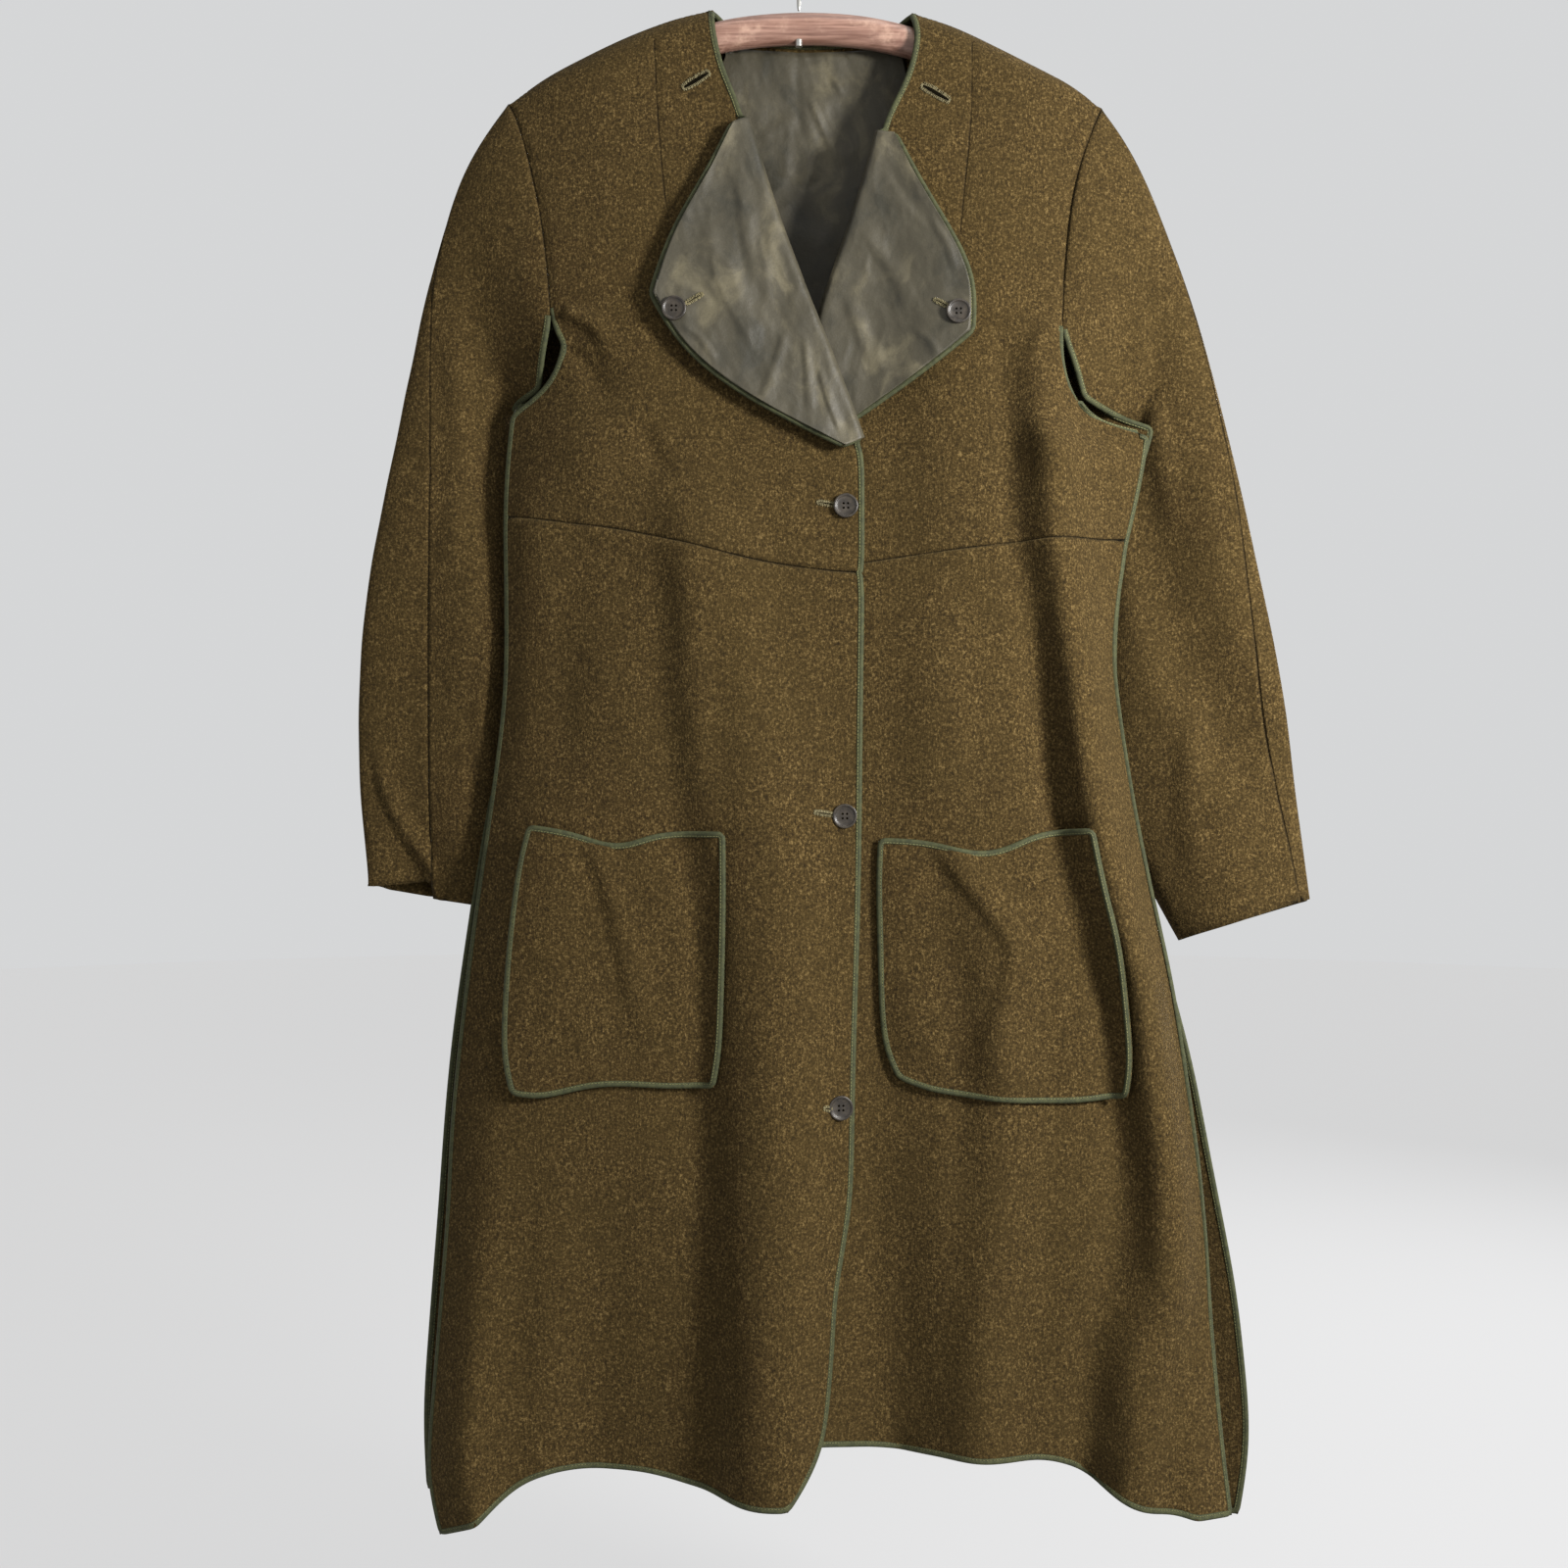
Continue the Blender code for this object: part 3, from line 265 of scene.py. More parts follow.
# %% Cloths and pieces
WOOL, SATIN_WALL = 2.0, 1.0      # thickness of the cloths in the CAD, in millimetres
SKIN, RIM, OTHER_SKIN = 0, 1, 2
SHARP = -math.cos(math.radians(42))      # an outline that turns more than this keeps its corner
WALL_SLACK = 0.03
MERGE_REACH = 0.01 * MM


def select_only(piece):
    bpy.ops.object.select_all(action="DESELECT")
    piece.select_set(True)
    bpy.context.view_layer.objects.active = piece


def add_piece(name, data):
    piece = bpy.data.objects.new(name, data)
    bpy.context.scene.collection.objects.link(piece)
    return piece


def new_piece(name, mesh, smooth=True):
    data = bpy.data.meshes.new(name)
    mesh.to_mesh(data)
    mesh.free()
    if smooth:
        data.shade_smooth()
    return add_piece(name, data)


print("wool is", WOOL, "mm thick and satin", SATIN_WALL, "mm")

# %% Telling the skins apart


def mark_skins(mesh, wall):
    """Number the faces 0, 1 and 2 for one skin, the rim and the other skin, and crease the rim.

    An edge across the rim is as long as the cloth is thick, and only the rim has such edges.
    """
    for face in mesh.faces:
        thick = [edge for edge in face.edges if abs(edge.calc_length() / MM - wall) < WALL_SLACK]
        face.material_index = RIM if thick else OTHER_SKIN
    left, skins = {face for face in mesh.faces if face.material_index != RIM}, []
    for start in mesh.faces:
        if start not in left:
            continue
        left.remove(start)
        skin = [start]
        for face in skin:            # the row grows while it is read
            beside = {other for edge in face.edges for other in edge.link_faces} & left
            left -= beside
            skin += beside
        skins.append(skin)
    skins.sort(key=len)
    for face in skins[-1]:
        face.material_index = SKIN
    crease = mesh.edges.layers.float.new("crease_edge")
    for edge in mesh.edges:
        edge[crease] = float(len({face.material_index for face in edge.link_faces}) > 1)
    point = mesh.verts.layers.float.new("crease_vert")
    for corner in mesh.verts:
        border = [edge.other_vert(corner).co for edge in corner.link_edges if edge[crease] == 1.0]
        if len(border) == 2:
            a, b = ((end - corner.co).normalized() for end in border)
            corner[point] = float(a.dot(b) > SHARP)
    return [len(skin) for skin in skins]


# %% Copying panels


def finer_copy(node, name, levels, wall=None):
    mesh = bmesh.new()
    mesh.from_mesh(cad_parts[node].data)
    bmesh.ops.remove_doubles(mesh, verts=mesh.verts[:], dist=MERGE_REACH)
    if wall:
        print(node, "skins:", mark_skins(mesh, wall))
    piece = new_piece(name, mesh, smooth=False)
    for _ in (SKIN, RIM, OTHER_SKIN):
        piece.data.materials.append(None)
    select_only(piece)
    bpy.ops.object.mode_set(mode="EDIT")
    bpy.ops.mesh.select_all(action="SELECT")
    bpy.ops.mesh.tris_convert_to_quads(face_threshold=math.radians(60), shape_threshold=math.pi, materials=True)
    bpy.ops.object.mode_set(mode="OBJECT")
    rounding = piece.modifiers.new("rounding", "SUBSURF")
    rounding.levels = rounding.render_levels = levels
    bpy.ops.object.modifier_apply(modifier=rounding.name)
    piece.data.shade_smooth()
    return piece


def read_points(piece):
    flat = np.empty(len(piece.data.vertices) * 3, np.float32)
    piece.data.vertices.foreach_get("co", flat)
    return flat.reshape(-1, 3).astype(float)


def write_points(piece, points):
    piece.data.vertices.foreach_set("co", points.astype(np.float32).ravel())
    piece.data.update()


PARTS = [part.format(side) for side in SIDES
         for part in ("upper_front_{}", "lower_front_{}", "sleeve_{}_front", "sleeve_{}_back", "pocket_{}")]
PANELS = {part: finer_copy(part, "wool_" + part, 3, WOOL) for part in [*PARTS, "back"]}
print("panels:", {name: len(piece.data.polygons) for name, piece in PANELS.items()})

# %% [markdown]
# ## Raw edges
# Every tape runs along the raw edge of a panel, so the edges are traced while the copy
# still lies exactly on the CAD.  Each point of an edge has its corner on the one skin, its
# partner on the other skin and the corners just inside.  It belongs to a tape when the
# CAD's own tape passes close by.

# %% Tracing raw edges
Edge = namedtuple("Edge", "outer partner inside")
TAPES = [f"tape_{part}_{side}" for part in ("front", "pocket", "sleeve") for side in SIDES]
TAPES += ["tape_back", "tape_back_neck"]
TAPE_REACH = 4.5 * MM
FEWEST_FREE, FEWEST_TAPED = 4, 8       # points of a row; with fewer free ones the tape goes all round
TAPE_END_REACH = 24 * MM       # a tape runs on this far past the CAD's, up to the next corner
CORNER = math.cos(math.radians(48))


def point_tree(points):
    """A search tree over numbered points."""
    tree = KDTree(len(points))
    for number, point in enumerate(points):
        tree.insert(point, number)
    tree.balance()
    return tree


def cloth_tree(data):
    """A search tree over the faces of a mesh."""
    return BVHTree.FromPolygons([corner.co for corner in data.vertices],
                                [face.vertices for face in data.polygons])


def raw_edges(piece):
    """Closed rows of edge points round a sheet."""
    mesh = bmesh.new()
    mesh.from_mesh(piece.data)
    mesh.verts.ensure_lookup_table()

    def border(skin):
        return [edge for edge in mesh.edges
                if sorted(face.material_index for face in edge.link_faces) == sorted((skin, RIM))]

    partners = list({corner.index for edge in border(OTHER_SKIN) for corner in edge.verts})
    tree = point_tree([mesh.verts[index].co for index in partners])
    steps = {}
    for edge in border(SKIN):
        a, b = (corner.index for corner in edge.verts)
        steps.setdefault(a, []).append(b)
        steps.setdefault(b, []).append(a)
    rows, left = [], set(steps)
    while left:
        here = left.pop()
        row = [here]
        while True:
            onward = [step for step in steps[row[-1]] if step in left]
            if not onward:
                break
            row.append(onward[0])
            left.discard(onward[0])
        rows.append([Edge(index, partners[tree.find(mesh.verts[index].co)[1]],
                          [corner.index for face in mesh.verts[index].link_faces
                           if face.material_index == SKIN for corner in face.verts])
                     for index in row])
    mesh.free()
    return rows


print("raw edges of a pocket:", [len(row) for row in raw_edges(PANELS["pocket_right"])], "points")

# %% Following the tapes


def run_on(places, near, step):
    """Carry the marked stretches on in one direction until a corner or the reach ends."""
    count = len(places)
    for k in [k for k in range(count) if near[k] and not near[(k + step) % count]]:
        gone, here = 0.0, k
        ahead = (places[k] - places[(k - 3 * step) % count]).normalized()
        while gone < TAPE_END_REACH:
            onward = (here + step) % count
            span = places[onward] - places[here]
            if near[onward] or span.normalized().dot(ahead) < CORNER:
                break
            gone += span.length
            near[onward] = True
            here = onward


def tape_runs(piece, rows, tree):
    """Stretches of the raw edge that a tape follows, and whether each is closed."""
    points = read_points(piece)
    runs = []
    for row in rows:
        middles = [Vector((points[edge.outer] + points[edge.partner]) / 2) for edge in row]
        near = [tree.find_nearest(middle)[3] < TAPE_REACH for middle in middles]
        if near.count(False) < FEWEST_FREE:
            runs.append((row, True))
            continue
        if sum(near) < FEWEST_TAPED:
            continue
        run_on(middles, near, 1)
        run_on(middles, near, -1)
        start = near.index(False)
        row, near = row[start:] + row[:start], near[start:] + near[:start]
        for taped, run in groupby(zip(near, row), key=lambda pair: pair[0]):
            if taped:
                runs.append(([edge for _, edge in run], False))
    return runs


tape_trees = {tape: cloth_tree(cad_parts[tape].data) for tape in TAPES}
TAPED = {tape: [] for tape in TAPES}
for part, piece in PANELS.items():
    rows = raw_edges(piece)
    for tape in TAPES:
        for run, closed in tape_runs(piece, rows, tape_trees[tape]):
            TAPED[tape].append((part, run, closed))
print("taped stretches:", {tape: [(part, len(run)) for part, run, _ in runs] for tape, runs in TAPED.items()})

# %% [markdown]
# ## Shaping the cloth
# Panels that meet are moved by the same folds, so their seams stay closed.  At a seam the
# cloth rolls in to the stitches, which shows as a soft groove.  Fronts move towards the
# camera and the back away from it, and a sleeve's folds fade where it turns to its seam.

# %% Shaping
GROOVE_WIDTH = 5.0
SEAM_FOLDS = [Fold(seam[side], (GROOVE_WIDTH, GROOVE_WIDTH), (-depth, -depth), 0.0, (0.001, 0.001))
              for seam, depth in ((CHEST_SEAM, 0.9), (ARMHOLE_SEAM, 1.2), (DART, 0.7)) for side in SIDES]
SHELF = 20 * MM            # a sleeve's middle is measured once in each of these
TURN_DEPTH = 4 * MM        # a sleeve turns from front to back within this depth
BACK_LIMIT, POCKET_LIMIT = -5.0, -1.0      # so deep at most do folds go towards the cloth beside
FRONT, BEHIND, UP = (0, -1, 0), (0, 1, 0), (0, 0, 1)


def front_rise(places):
    rise = fold_rise(FRONT_FOLDS + UNDERARM_FOLDS + SEAM_FOLDS, places)
    return rise + ripple(places, (60, 110), 1.1, 2.0) + ripple(places, (17, 26), 0.35, 5.0)


def seen(piece):
    """Where each point of a piece is, as x and drop."""
    return read_front(read_points(piece))


def move(piece, rise, towards):
    write_points(piece, read_points(piece) + np.outer(rise, towards) * MM)


def flat_middle(side):
    """Depth of the middle of a sleeve at each height."""
    points = np.concatenate([read_points(PANELS[f"sleeve_{side}_{half}"]) for half in ("front", "back")])
    shelf = np.round(points[:, 2] / SHELF).astype(int)
    heights = np.unique(shelf)
    depths = [(points[shelf == h, 1].min() + points[shelf == h, 1].max()) / 2 for h in heights]
    return heights * SHELF, depths


SLEEVE_MIDDLE = {side: flat_middle(side) for side in SIDES}


def facing_front(piece, side):
    """1 on the front of a sleeve, -1 on its back and 0 where it turns round."""
    points = read_points(piece)
    return np.clip((np.interp(points[:, 2], *SLEEVE_MIDDLE[side]) - points[:, 1]) / TURN_DEPTH, -1, 1)


# At the right cuff the sleeve is creased over itself, so its outer part hangs a little higher.
CUFF_LIFT = 11.0
CUFF_TOP, CUFF_FADE = 610, 40


def crease_cuff(piece, places, front):
    x, drop = places.T
    lift = np.interp(x, [-324, -316, -275, -270], [0, 1.0, CUFF_LIFT, 0])
    move(piece, lift * smooth_step((drop - CUFF_TOP) / CUFF_FADE) * np.clip(front, 0, 1), UP)


# Below the arm the back reaches further out than the front, so its edge covers the vent.
VENT = {       # path, direction and amount
    "right": ([(-184, 226), (-182, 253), (-186, 271), (-192, 287), (-208, 304), (-216, 310)],
              (-0.8, 0, 0.6), 10),
    "left": ([(195, 232), (196, 262), (201, 284), (212, 303), (229, 314), (258, 320)], (0.6, 0, 0.8), 13),
}
VENT_WIDTH = 42.0

for part, piece in PANELS.items():
    places = seen(piece)
    side = "right" if "right" in part else "left"
    if "sleeve" in part:
        front = facing_front(piece, side)
        rise = fold_rise(SLEEVE_FOLDS[side], places) + ripple(places, (50, 90), 1.8, 9.0)
        rise = rise * front + fold_rise([SLEEVE_SWELL[side]], places) * np.clip(front, 0, 1)
        if part.endswith("front"):
            rise += fold_rise(SEAM_FOLDS, places)
        move(piece, rise, FRONT)
        if side == "right":
            crease_cuff(piece, places, front)
    elif part == "back":
        rise = fold_rise(BACK_FOLDS, places) + ripple(places, (60, 110), 1.2, 12.0)
        move(piece, np.maximum(rise, BACK_LIMIT), BEHIND)
        for path, outward, amount in VENT.values():
            distance, _, share = near_path(places, path)
            weight = np.cos(np.clip(distance / VENT_WIDTH, 0, 1) * math.pi / 2) ** 2
            move(piece, amount * weight * smooth_step(share / 0.3), outward)
    elif "pocket" in part:
        move(piece, front_rise(places) + np.maximum(fold_rise(POCKET_FOLDS[side], places), POCKET_LIMIT), FRONT)
    else:
        move(piece, front_rise(places), FRONT)
print("shaped", len(PANELS), "panels")

# %% [markdown]
# ## Sewing the seams
# The CAD leaves a hair's breadth between two panels.  Here each raw edge that has no tape
# is drawn to the edge of its neighbour, and the cloth beside it follows.  Every point also
# learns how far it is from a seam or dart, where the wool is painted darker: partly the
# stitches, partly painted shade of the seam's groove.

# %% Sewing
SEAM_REACH = 8 * MM        # two raw edges nearer than this are sewn together
SEAM_PULL = 16 * MM        # so far from a seam the cloth follows it
TAPE_CLEAR = 2.2 * MM      # an edge this near to a tape isn't sewn
SHARED_BY = 4              # the points of a seam that a point follows
NO_LINE = 30.0
PAST_DART = 1.5            # past its end a dart shows no line

RIMS = {}
for part, piece in PANELS.items():
    points = read_points(piece)
    taped = [points[index] for runs in TAPED.values() for name, run, _ in runs if name == part
             for edge in run for index in (edge.outer, edge.partner)]
    tree = point_tree(taped) if taped else None
    rim = sorted({index for face in piece.data.polygons if face.material_index == RIM
                  for index in face.vertices})
    RIMS[part] = [Vector(points[index]) for index in rim
                  if not taped or tree.find(points[index])[2] > TAPE_CLEAR]

LINE_DISTANCE = {}
for part, piece in PANELS.items():
    tree = point_tree([point for name, rim in RIMS.items() if name != part for point in rim])
    seam = []
    for here in RIMS[part]:
        there, _, gap = tree.find(here)
        if gap < SEAM_REACH:
            seam.append((here, (there - here) / 2))
    points = read_points(piece)
    line, shift = np.full(len(points), NO_LINE), np.zeros_like(points)
    own = point_tree([here for here, _ in seam]) if seam else None
    for index, point in enumerate(points if seam else []):
        close = own.find_n(point, SHARED_BY)
        gap = close[0][2]
        if gap > SEAM_PULL:
            continue
        line[index] = gap / MM
        weights = [1 / (distance + 0.3 * MM) for _, _, distance in close]
        pull = sum((seam[n][1] * w for (_, n, _), w in zip(close, weights)), Vector()) / sum(weights)
        shift[index] = pull * (1 - gap / SEAM_PULL) ** 2
    write_points(piece, points + shift)
    if part.startswith("upper"):
        distance, which, share = near_path(seen(piece), DART[part.split("_")[-1]])
        distance = np.where((share > 0) & (share < 1), distance * which, np.maximum(distance, PAST_DART))
        line = np.where(np.abs(distance) < line, distance, line)
    if part.startswith("sleeve"):
        side = part.split("_")[1]
        distance, _, _ = near_path(seen(piece), CUFF_STITCHES[side])
        line = np.minimum(line, np.where(facing_front(piece, side) > 0.5, distance, NO_LINE) + 0.1)
    LINE_DISTANCE[part] = line
    layer = piece.data.attributes.new("line", "FLOAT", "POINT")
    layer.data.foreach_set("value", line.astype(np.float32))
print("sewn:", {part: int((abs(line) < 1).sum()) for part, line in LINE_DISTANCE.items()})

# %% [markdown]
# ## Binding the edges
# A woven tape is folded over each raw edge and stitched down along its inner side.  Seen
# in section it is a flat, rounded hook, which is swept along the traced edges here.  Its
# own UV map runs along the tape in metres, and round it, for the stitches.

# %% Binding tape
# The section, in millimetres: out from the cloth, and up from the middle of the cloth.
HALF_SECTION = [(0.95, 0.0), (0.8, 0.8), (0.25, 1.45), (-0.7, 1.85), (-1.7, 1.8), (-2.35, 1.42),
                (-2.8, 1.62), (-3.3, 1.4), (-3.55, 0.8)]
SECTION = HALF_SECTION + [(out, -up) for out, up in reversed(HALF_SECTION[1:])]
TAPE_STEP = 3.0 * MM
JOIN_REACH = 25 * MM
SKINS_APART = 0.3 * MM


def edge_frames(part, run):
    """Middle, outward and upward direction at each point of a stretch of raw edge."""
    points = read_points(PANELS[part])
    outer, partner = points[[edge.outer for edge in run]], points[[edge.partner for edge in run]]
    inner = np.array([points[edge.inside].mean(axis=0) for edge in run])
    up = outer - partner
    thick = np.linalg.norm(up, axis=1)
    apart = thick > SKINS_APART          # where a seam has drawn both skins together, the tape skips a point
    rows = (outer + partner) / 2, outer - inner, up / np.maximum(thick, 1e-9)[:, None]
    return tuple(row[apart] for row in rows)


def join_stretches(stretches):
    """One long row from stretches that lie end to end."""
    stretches = sorted(stretches, key=lambda stretch: -len(stretch[0]))
    whole = stretches.pop(0)
    while stretches:
        gap, number, at_end, turned = min(
            (np.linalg.norm(whole[0][-1 if at_end else 0] - stretch[0][-1 if turned == at_end else 0]),
             number, at_end, turned)
            for number, stretch in enumerate(stretches) for at_end in (False, True) for turned in (False, True))
        stretch = stretches.pop(number)
        if gap > JOIN_REACH:
            continue
        if turned:
            stretch = tuple(row[::-1] for row in stretch)
        middle, out, up = stretch
        join = (whole[2][-1] @ up[0]) if at_end else (whole[2][0] @ up[-1])
        stretch = (middle, out, up if join > 0 else -up)
        whole = tuple(np.concatenate([a, b] if at_end else [b, a]) for a, b in zip(whole, stretch))
    return whole


print("the section has", len(SECTION), "points")

# %% Sweeping the section


def even_steps(rows, closed, step):
    if closed:
        rows = [np.concatenate([row, row[:1]]) for row in rows]
    reach = np.concatenate([[0], np.cumsum(np.linalg.norm(np.diff(rows[0], axis=0), axis=1))])
    count = max(4, round(reach[-1] / step))
    wanted = np.linspace(0, reach[-1], count + 1)[:count + (0 if closed else 1)]
    rows = [np.stack([np.interp(wanted, reach, column) for column in row.T], axis=1) for row in rows]
    return rows, reach[-1]


def soften(row, closed, rounds):
    for _ in range(rounds):
        before, after = np.roll(row, 1, axis=0), np.roll(row, -1, axis=0)
        if not closed:
            before[0], after[-1] = row[0], row[-1]
        row = before / 4 + row / 2 + after / 4
    return row


def sweep(name, rows, closed, section):
    (middle, out, up), length = even_steps(rows, closed, TAPE_STEP)
    middle, out, up = soften(middle, closed, 2), soften(out, closed, 4), soften(up, closed, 4)
    ahead = np.roll(middle, -1, axis=0) - np.roll(middle, 1, axis=0)
    if not closed:
        ahead[0], ahead[-1] = middle[1] - middle[0], middle[-1] - middle[-2]
    ahead /= np.linalg.norm(ahead, axis=1)[:, None]
    up -= (up * ahead).sum(axis=1)[:, None] * ahead
    up /= np.linalg.norm(up, axis=1)[:, None]
    across = np.cross(ahead, up)
    across *= np.sign((across * out).sum(axis=1))[:, None]
    mesh = bmesh.new()
    uv = mesh.loops.layers.uv.new("tape")
    rings = [[mesh.verts.new(centre + (a * o + b * u) * MM) for o, u in section]
             for centre, a, b in zip(middle, across, up)]
    count, sides = len(rings), len(section)
    for k in range(count if closed else count - 1):
        for n in range(sides):
            ring, onward, m = rings[k], rings[(k + 1) % count], (n + 1) % sides
            face = mesh.faces.new((ring[n], ring[m], onward[m], onward[n]))
            for loop, (u, v) in zip(face.loops, ((k, n), (k, n + 1), (k + 1, n + 1), (k + 1, n))):
                loop[uv].uv = (u * length / count, v / sides)
    for ring in () if closed else (rings[0], rings[-1]):
        mesh.faces.new(ring)
    bmesh.ops.recalc_face_normals(mesh, faces=mesh.faces[:])
    return new_piece(name, mesh), length


BINDINGS = {}
for tape, stretches in TAPED.items():
    closed = len(stretches) == 1 and stretches[0][2]
    rows = join_stretches([edge_frames(part, run) for part, run, _ in stretches])
    BINDINGS[tape], length = sweep(tape.replace("tape", "binding"), rows, closed, SECTION)
    print(tape, "is", round(length, 3), "m long")

# %% [markdown]
# ## Satin
# The turned lapels are faced with satin, and a piece of it lines the back of the neck.  It
# is thin and creases sharply, so its copies get one more level, ridged noise for the
# crumple and pleats where the cloth is drawn in.

# %% Satin pieces
SATIN_FOLDS = {
    "lapel_facing_right": [
        Fold([(-8, 232), (-18, 262), (-30, 296)], (5, 8), (1.6, 1.2), 0.3),
        Fold([(4, 240), (6, 270), (8, 300)], (4, 7), (1.4, 1.2), 0.3),
        Fold([(14, 262), (22, 290), (34, 318)], (4, 6), (1.2, 1), 0.3),
        Fold([(-46, 110), (-40, 160), (-28, 214)], (9, 12), (1.4, 1.6), 0.3),
        Fold([(-64, 172), (-50, 212), (-30, 254)], (15, 16), (3.2, 3), 0.4),
        Fold([(-70, 150), (-60, 190), (-44, 250)], (10, 13), (1.2, 1.4), -0.3),
        Fold([(-92, 232), (-76, 240), (-60, 262)], (4, 5), (1.3, 1)),
        Fold([(-88, 200), (-70, 206), (-58, 222)], (5, 6), (-1, -1)),
    ],
    "lapel_facing_left": [
        Fold([(44, 158), (70, 196), (84, 230)], (9, 11), (1.6, 1.5), 0.3),
        Fold([(34, 208), (46, 240), (60, 270)], (8, 10), (1.4, 1.2), 0.3),
        Fold([(64, 110), (84, 140), (110, 166)], (8, 10), (-1.2, -1), 0.2),
        Fold([(96, 150), (110, 172), (118, 196)], (5, 6), (1.4, 1.2)),
        Fold([(84, 236), (96, 244), (106, 258)], (5, 6), (1.2, 1)),
    ],
    "back_lining": [
        Fold([(-1, 30), (0, 62), (2, 102)], (5, 6), (-0.8, -0.6), -0.3, (0.02, 0.3)),
        Fold([(6, 62), (20, 92), (34, 122)], (4, 5), (1.4, 1.2), 0.3),
        Fold([(-30, 96), (-12, 84), (2, 78)], (5, 6), (1.2, 1.2)),
        Fold([(24, 48), (32, 58), (38, 52)], (4, 4), (1.3, 1.2)),
        Fold([(30, 130), (24, 160), (10, 182)], (4, 5), (1.6, 1.4)),
        Fold([(-6, 158), (14, 172), (28, 184)], (4, 5), (1.4, 1.4)),
        Fold([(-20, 120), (4, 130), (20, 120)], (5, 6), (-1.2, -1.2)),
    ],
}
CRINKLE = {"lapel_facing_right": 0.9, "lapel_facing_left": 0.8, "back_lining": 1.2}
LINING_LIMITS, FACING_LIMITS = (-1.6, 2.6), (-0.7, 3.4)


def crinkle(places, seed):
    """Crumpled satin: ridged noise, stretched a little down the cloth."""
    rise = []
    for x, drop in places:
        bend = 6 * noise.noise((x / 30, drop / 30, seed + 4))
        broad = noise.noise((x / 26, drop / 38, seed + 6))
        coarse = 1 - 2 * abs(noise.noise(((x + bend) / 21, (drop - bend) / 34, seed)))
        fine = 1 - 2 * abs(noise.noise(((x - drop * 0.4) / 9, (drop + x * 0.3) / 13, seed + 2)))
        rise.append(1.2 * broad + 0.8 * coarse + 0.3 * fine - 0.5)
    return np.array(rise)


SATIN = {}
for number, (part, folds) in enumerate(SATIN_FOLDS.items()):
    piece = SATIN[part] = finer_copy(part, "satin_" + part, 4, SATIN_WALL)
    places = seen(piece)
    rise = fold_rise(folds, places) + CRINKLE[part] * crinkle(places, 20.0 + number)
    if part == "back_lining":
        move(piece, np.clip(rise, *LINING_LIMITS), FRONT)
    else:
        move(piece, front_rise(places) + np.clip(rise + 0.6, *FACING_LIMITS), FRONT)
    print(part, "faces:", len(piece.data.polygons))

# %% [markdown]
# ## Materials
# Shader maths reads best as plain expressions.  A small class wraps a socket, so that a
# sum or a product of two values adds the Math node it needs.  All other nodes come from
# one method, which takes the kind of node, its settings and its inputs.

# %% Shader values
class Value:
    def __init__(self, finish, socket):
        self.finish, self.socket = finish, socket

    def math(self, operation, *values):
        return self.finish.node("ShaderNodeMath", {"operation": operation}, dict(enumerate(values)))

    def __add__(self, other):
        return self.math("ADD", self, other)

    __radd__ = __add__

    def __sub__(self, other):
        return self.math("SUBTRACT", self, other)

    def __rsub__(self, other):
        return self.math("SUBTRACT", other, self)

    def __mul__(self, other):
        return self.math("MULTIPLY", self, other)

    __rmul__ = __mul__

    def __abs__(self):
        return self.math("ABSOLUTE", self)

    def __mod__(self, other):
        return self.math("FLOORED_MODULO", self, other)

    def step(self, low, high):
        """0 below low, 1 above high and soft between."""
        return self.finish.node("ShaderNodeMapRange", {"interpolation_type": "SMOOTHSTEP"},
                                {0: self, 1: low, 2: high, 3: 0.0, 4: 1.0})


# %% Finishes


class Finish:
    """A material while it is being made."""

    def __init__(self, name, **constants):
        self.material = bpy.data.materials.new(name)
        self.material.use_nodes = True
        self.nodes = self.material.node_tree.nodes
        self.shader = self.nodes["Principled BSDF"]
        for socket, value in constants.items():
            self.shader.inputs[socket.replace("_", " ")].default_value = value
        self.place = self.node("ShaderNodeTexCoord", {}, {}, "Object")

    def node(self, kind, settings, inputs, output=0):
        made = self.nodes.new(kind)
        for name, value in settings.items():
            setattr(made, name, value)
        for name, value in inputs.items():
            if isinstance(value, Value):
                self.material.node_tree.links.new(value.socket, made.inputs[name])
            else:
                made.inputs[name].default_value = value
        return Value(self, made.outputs[output])

    def noise(self, scale, detail=2.0, roughness=0.5, place=None):
        return self.node("ShaderNodeTexNoise", {}, {"Vector": place or self.place, "Scale": scale,
                                                    "Detail": detail, "Roughness": roughness})

    def grain(self, scales, turn=(0, 0, 0), detail=2.0, roughness=0.5):
        """Noise with a scale for each direction, for hairs and grain."""
        return self.noise(1, detail, roughness, self.stretched(scales, turn))

    def stretched(self, scales, turn):
        return self.node("ShaderNodeMapping", {}, {"Vector": self.place, "Scale": scales, "Rotation": turn})

    def mix(self, share, a, b):
        """A colour between two colours."""
        return self.node("ShaderNodeMix", {"data_type": "RGBA"}, {0: share, 6: a, 7: b}, 2)

    def layers(self, base, *more):
        """A colour with others laid over it, each by its share."""
        for share, over in more:
            base = self.mix(share, base, over)
        return base

    def connect(self, **links):
        for socket, value in links.items():
            self.material.node_tree.links.new(value.socket, self.shader.inputs[socket.replace("_", " ")])

    def bump(self, height, distance, strength):
        return self.node("ShaderNodeBump", {}, {"Height": height, "Distance": distance, "Strength": strength})


def colour(red, green, blue):
    """A shader colour from what a colour picker shows, 0 to 255."""
    return tuple((c / 255 / 12.92 if c <= 10 else ((c / 255 + 0.055) / 1.055) ** 2.4)
                 for c in (red, green, blue)) + (1.0,)


print("olive is", [round(c, 3) for c in colour(110, 90, 52)])

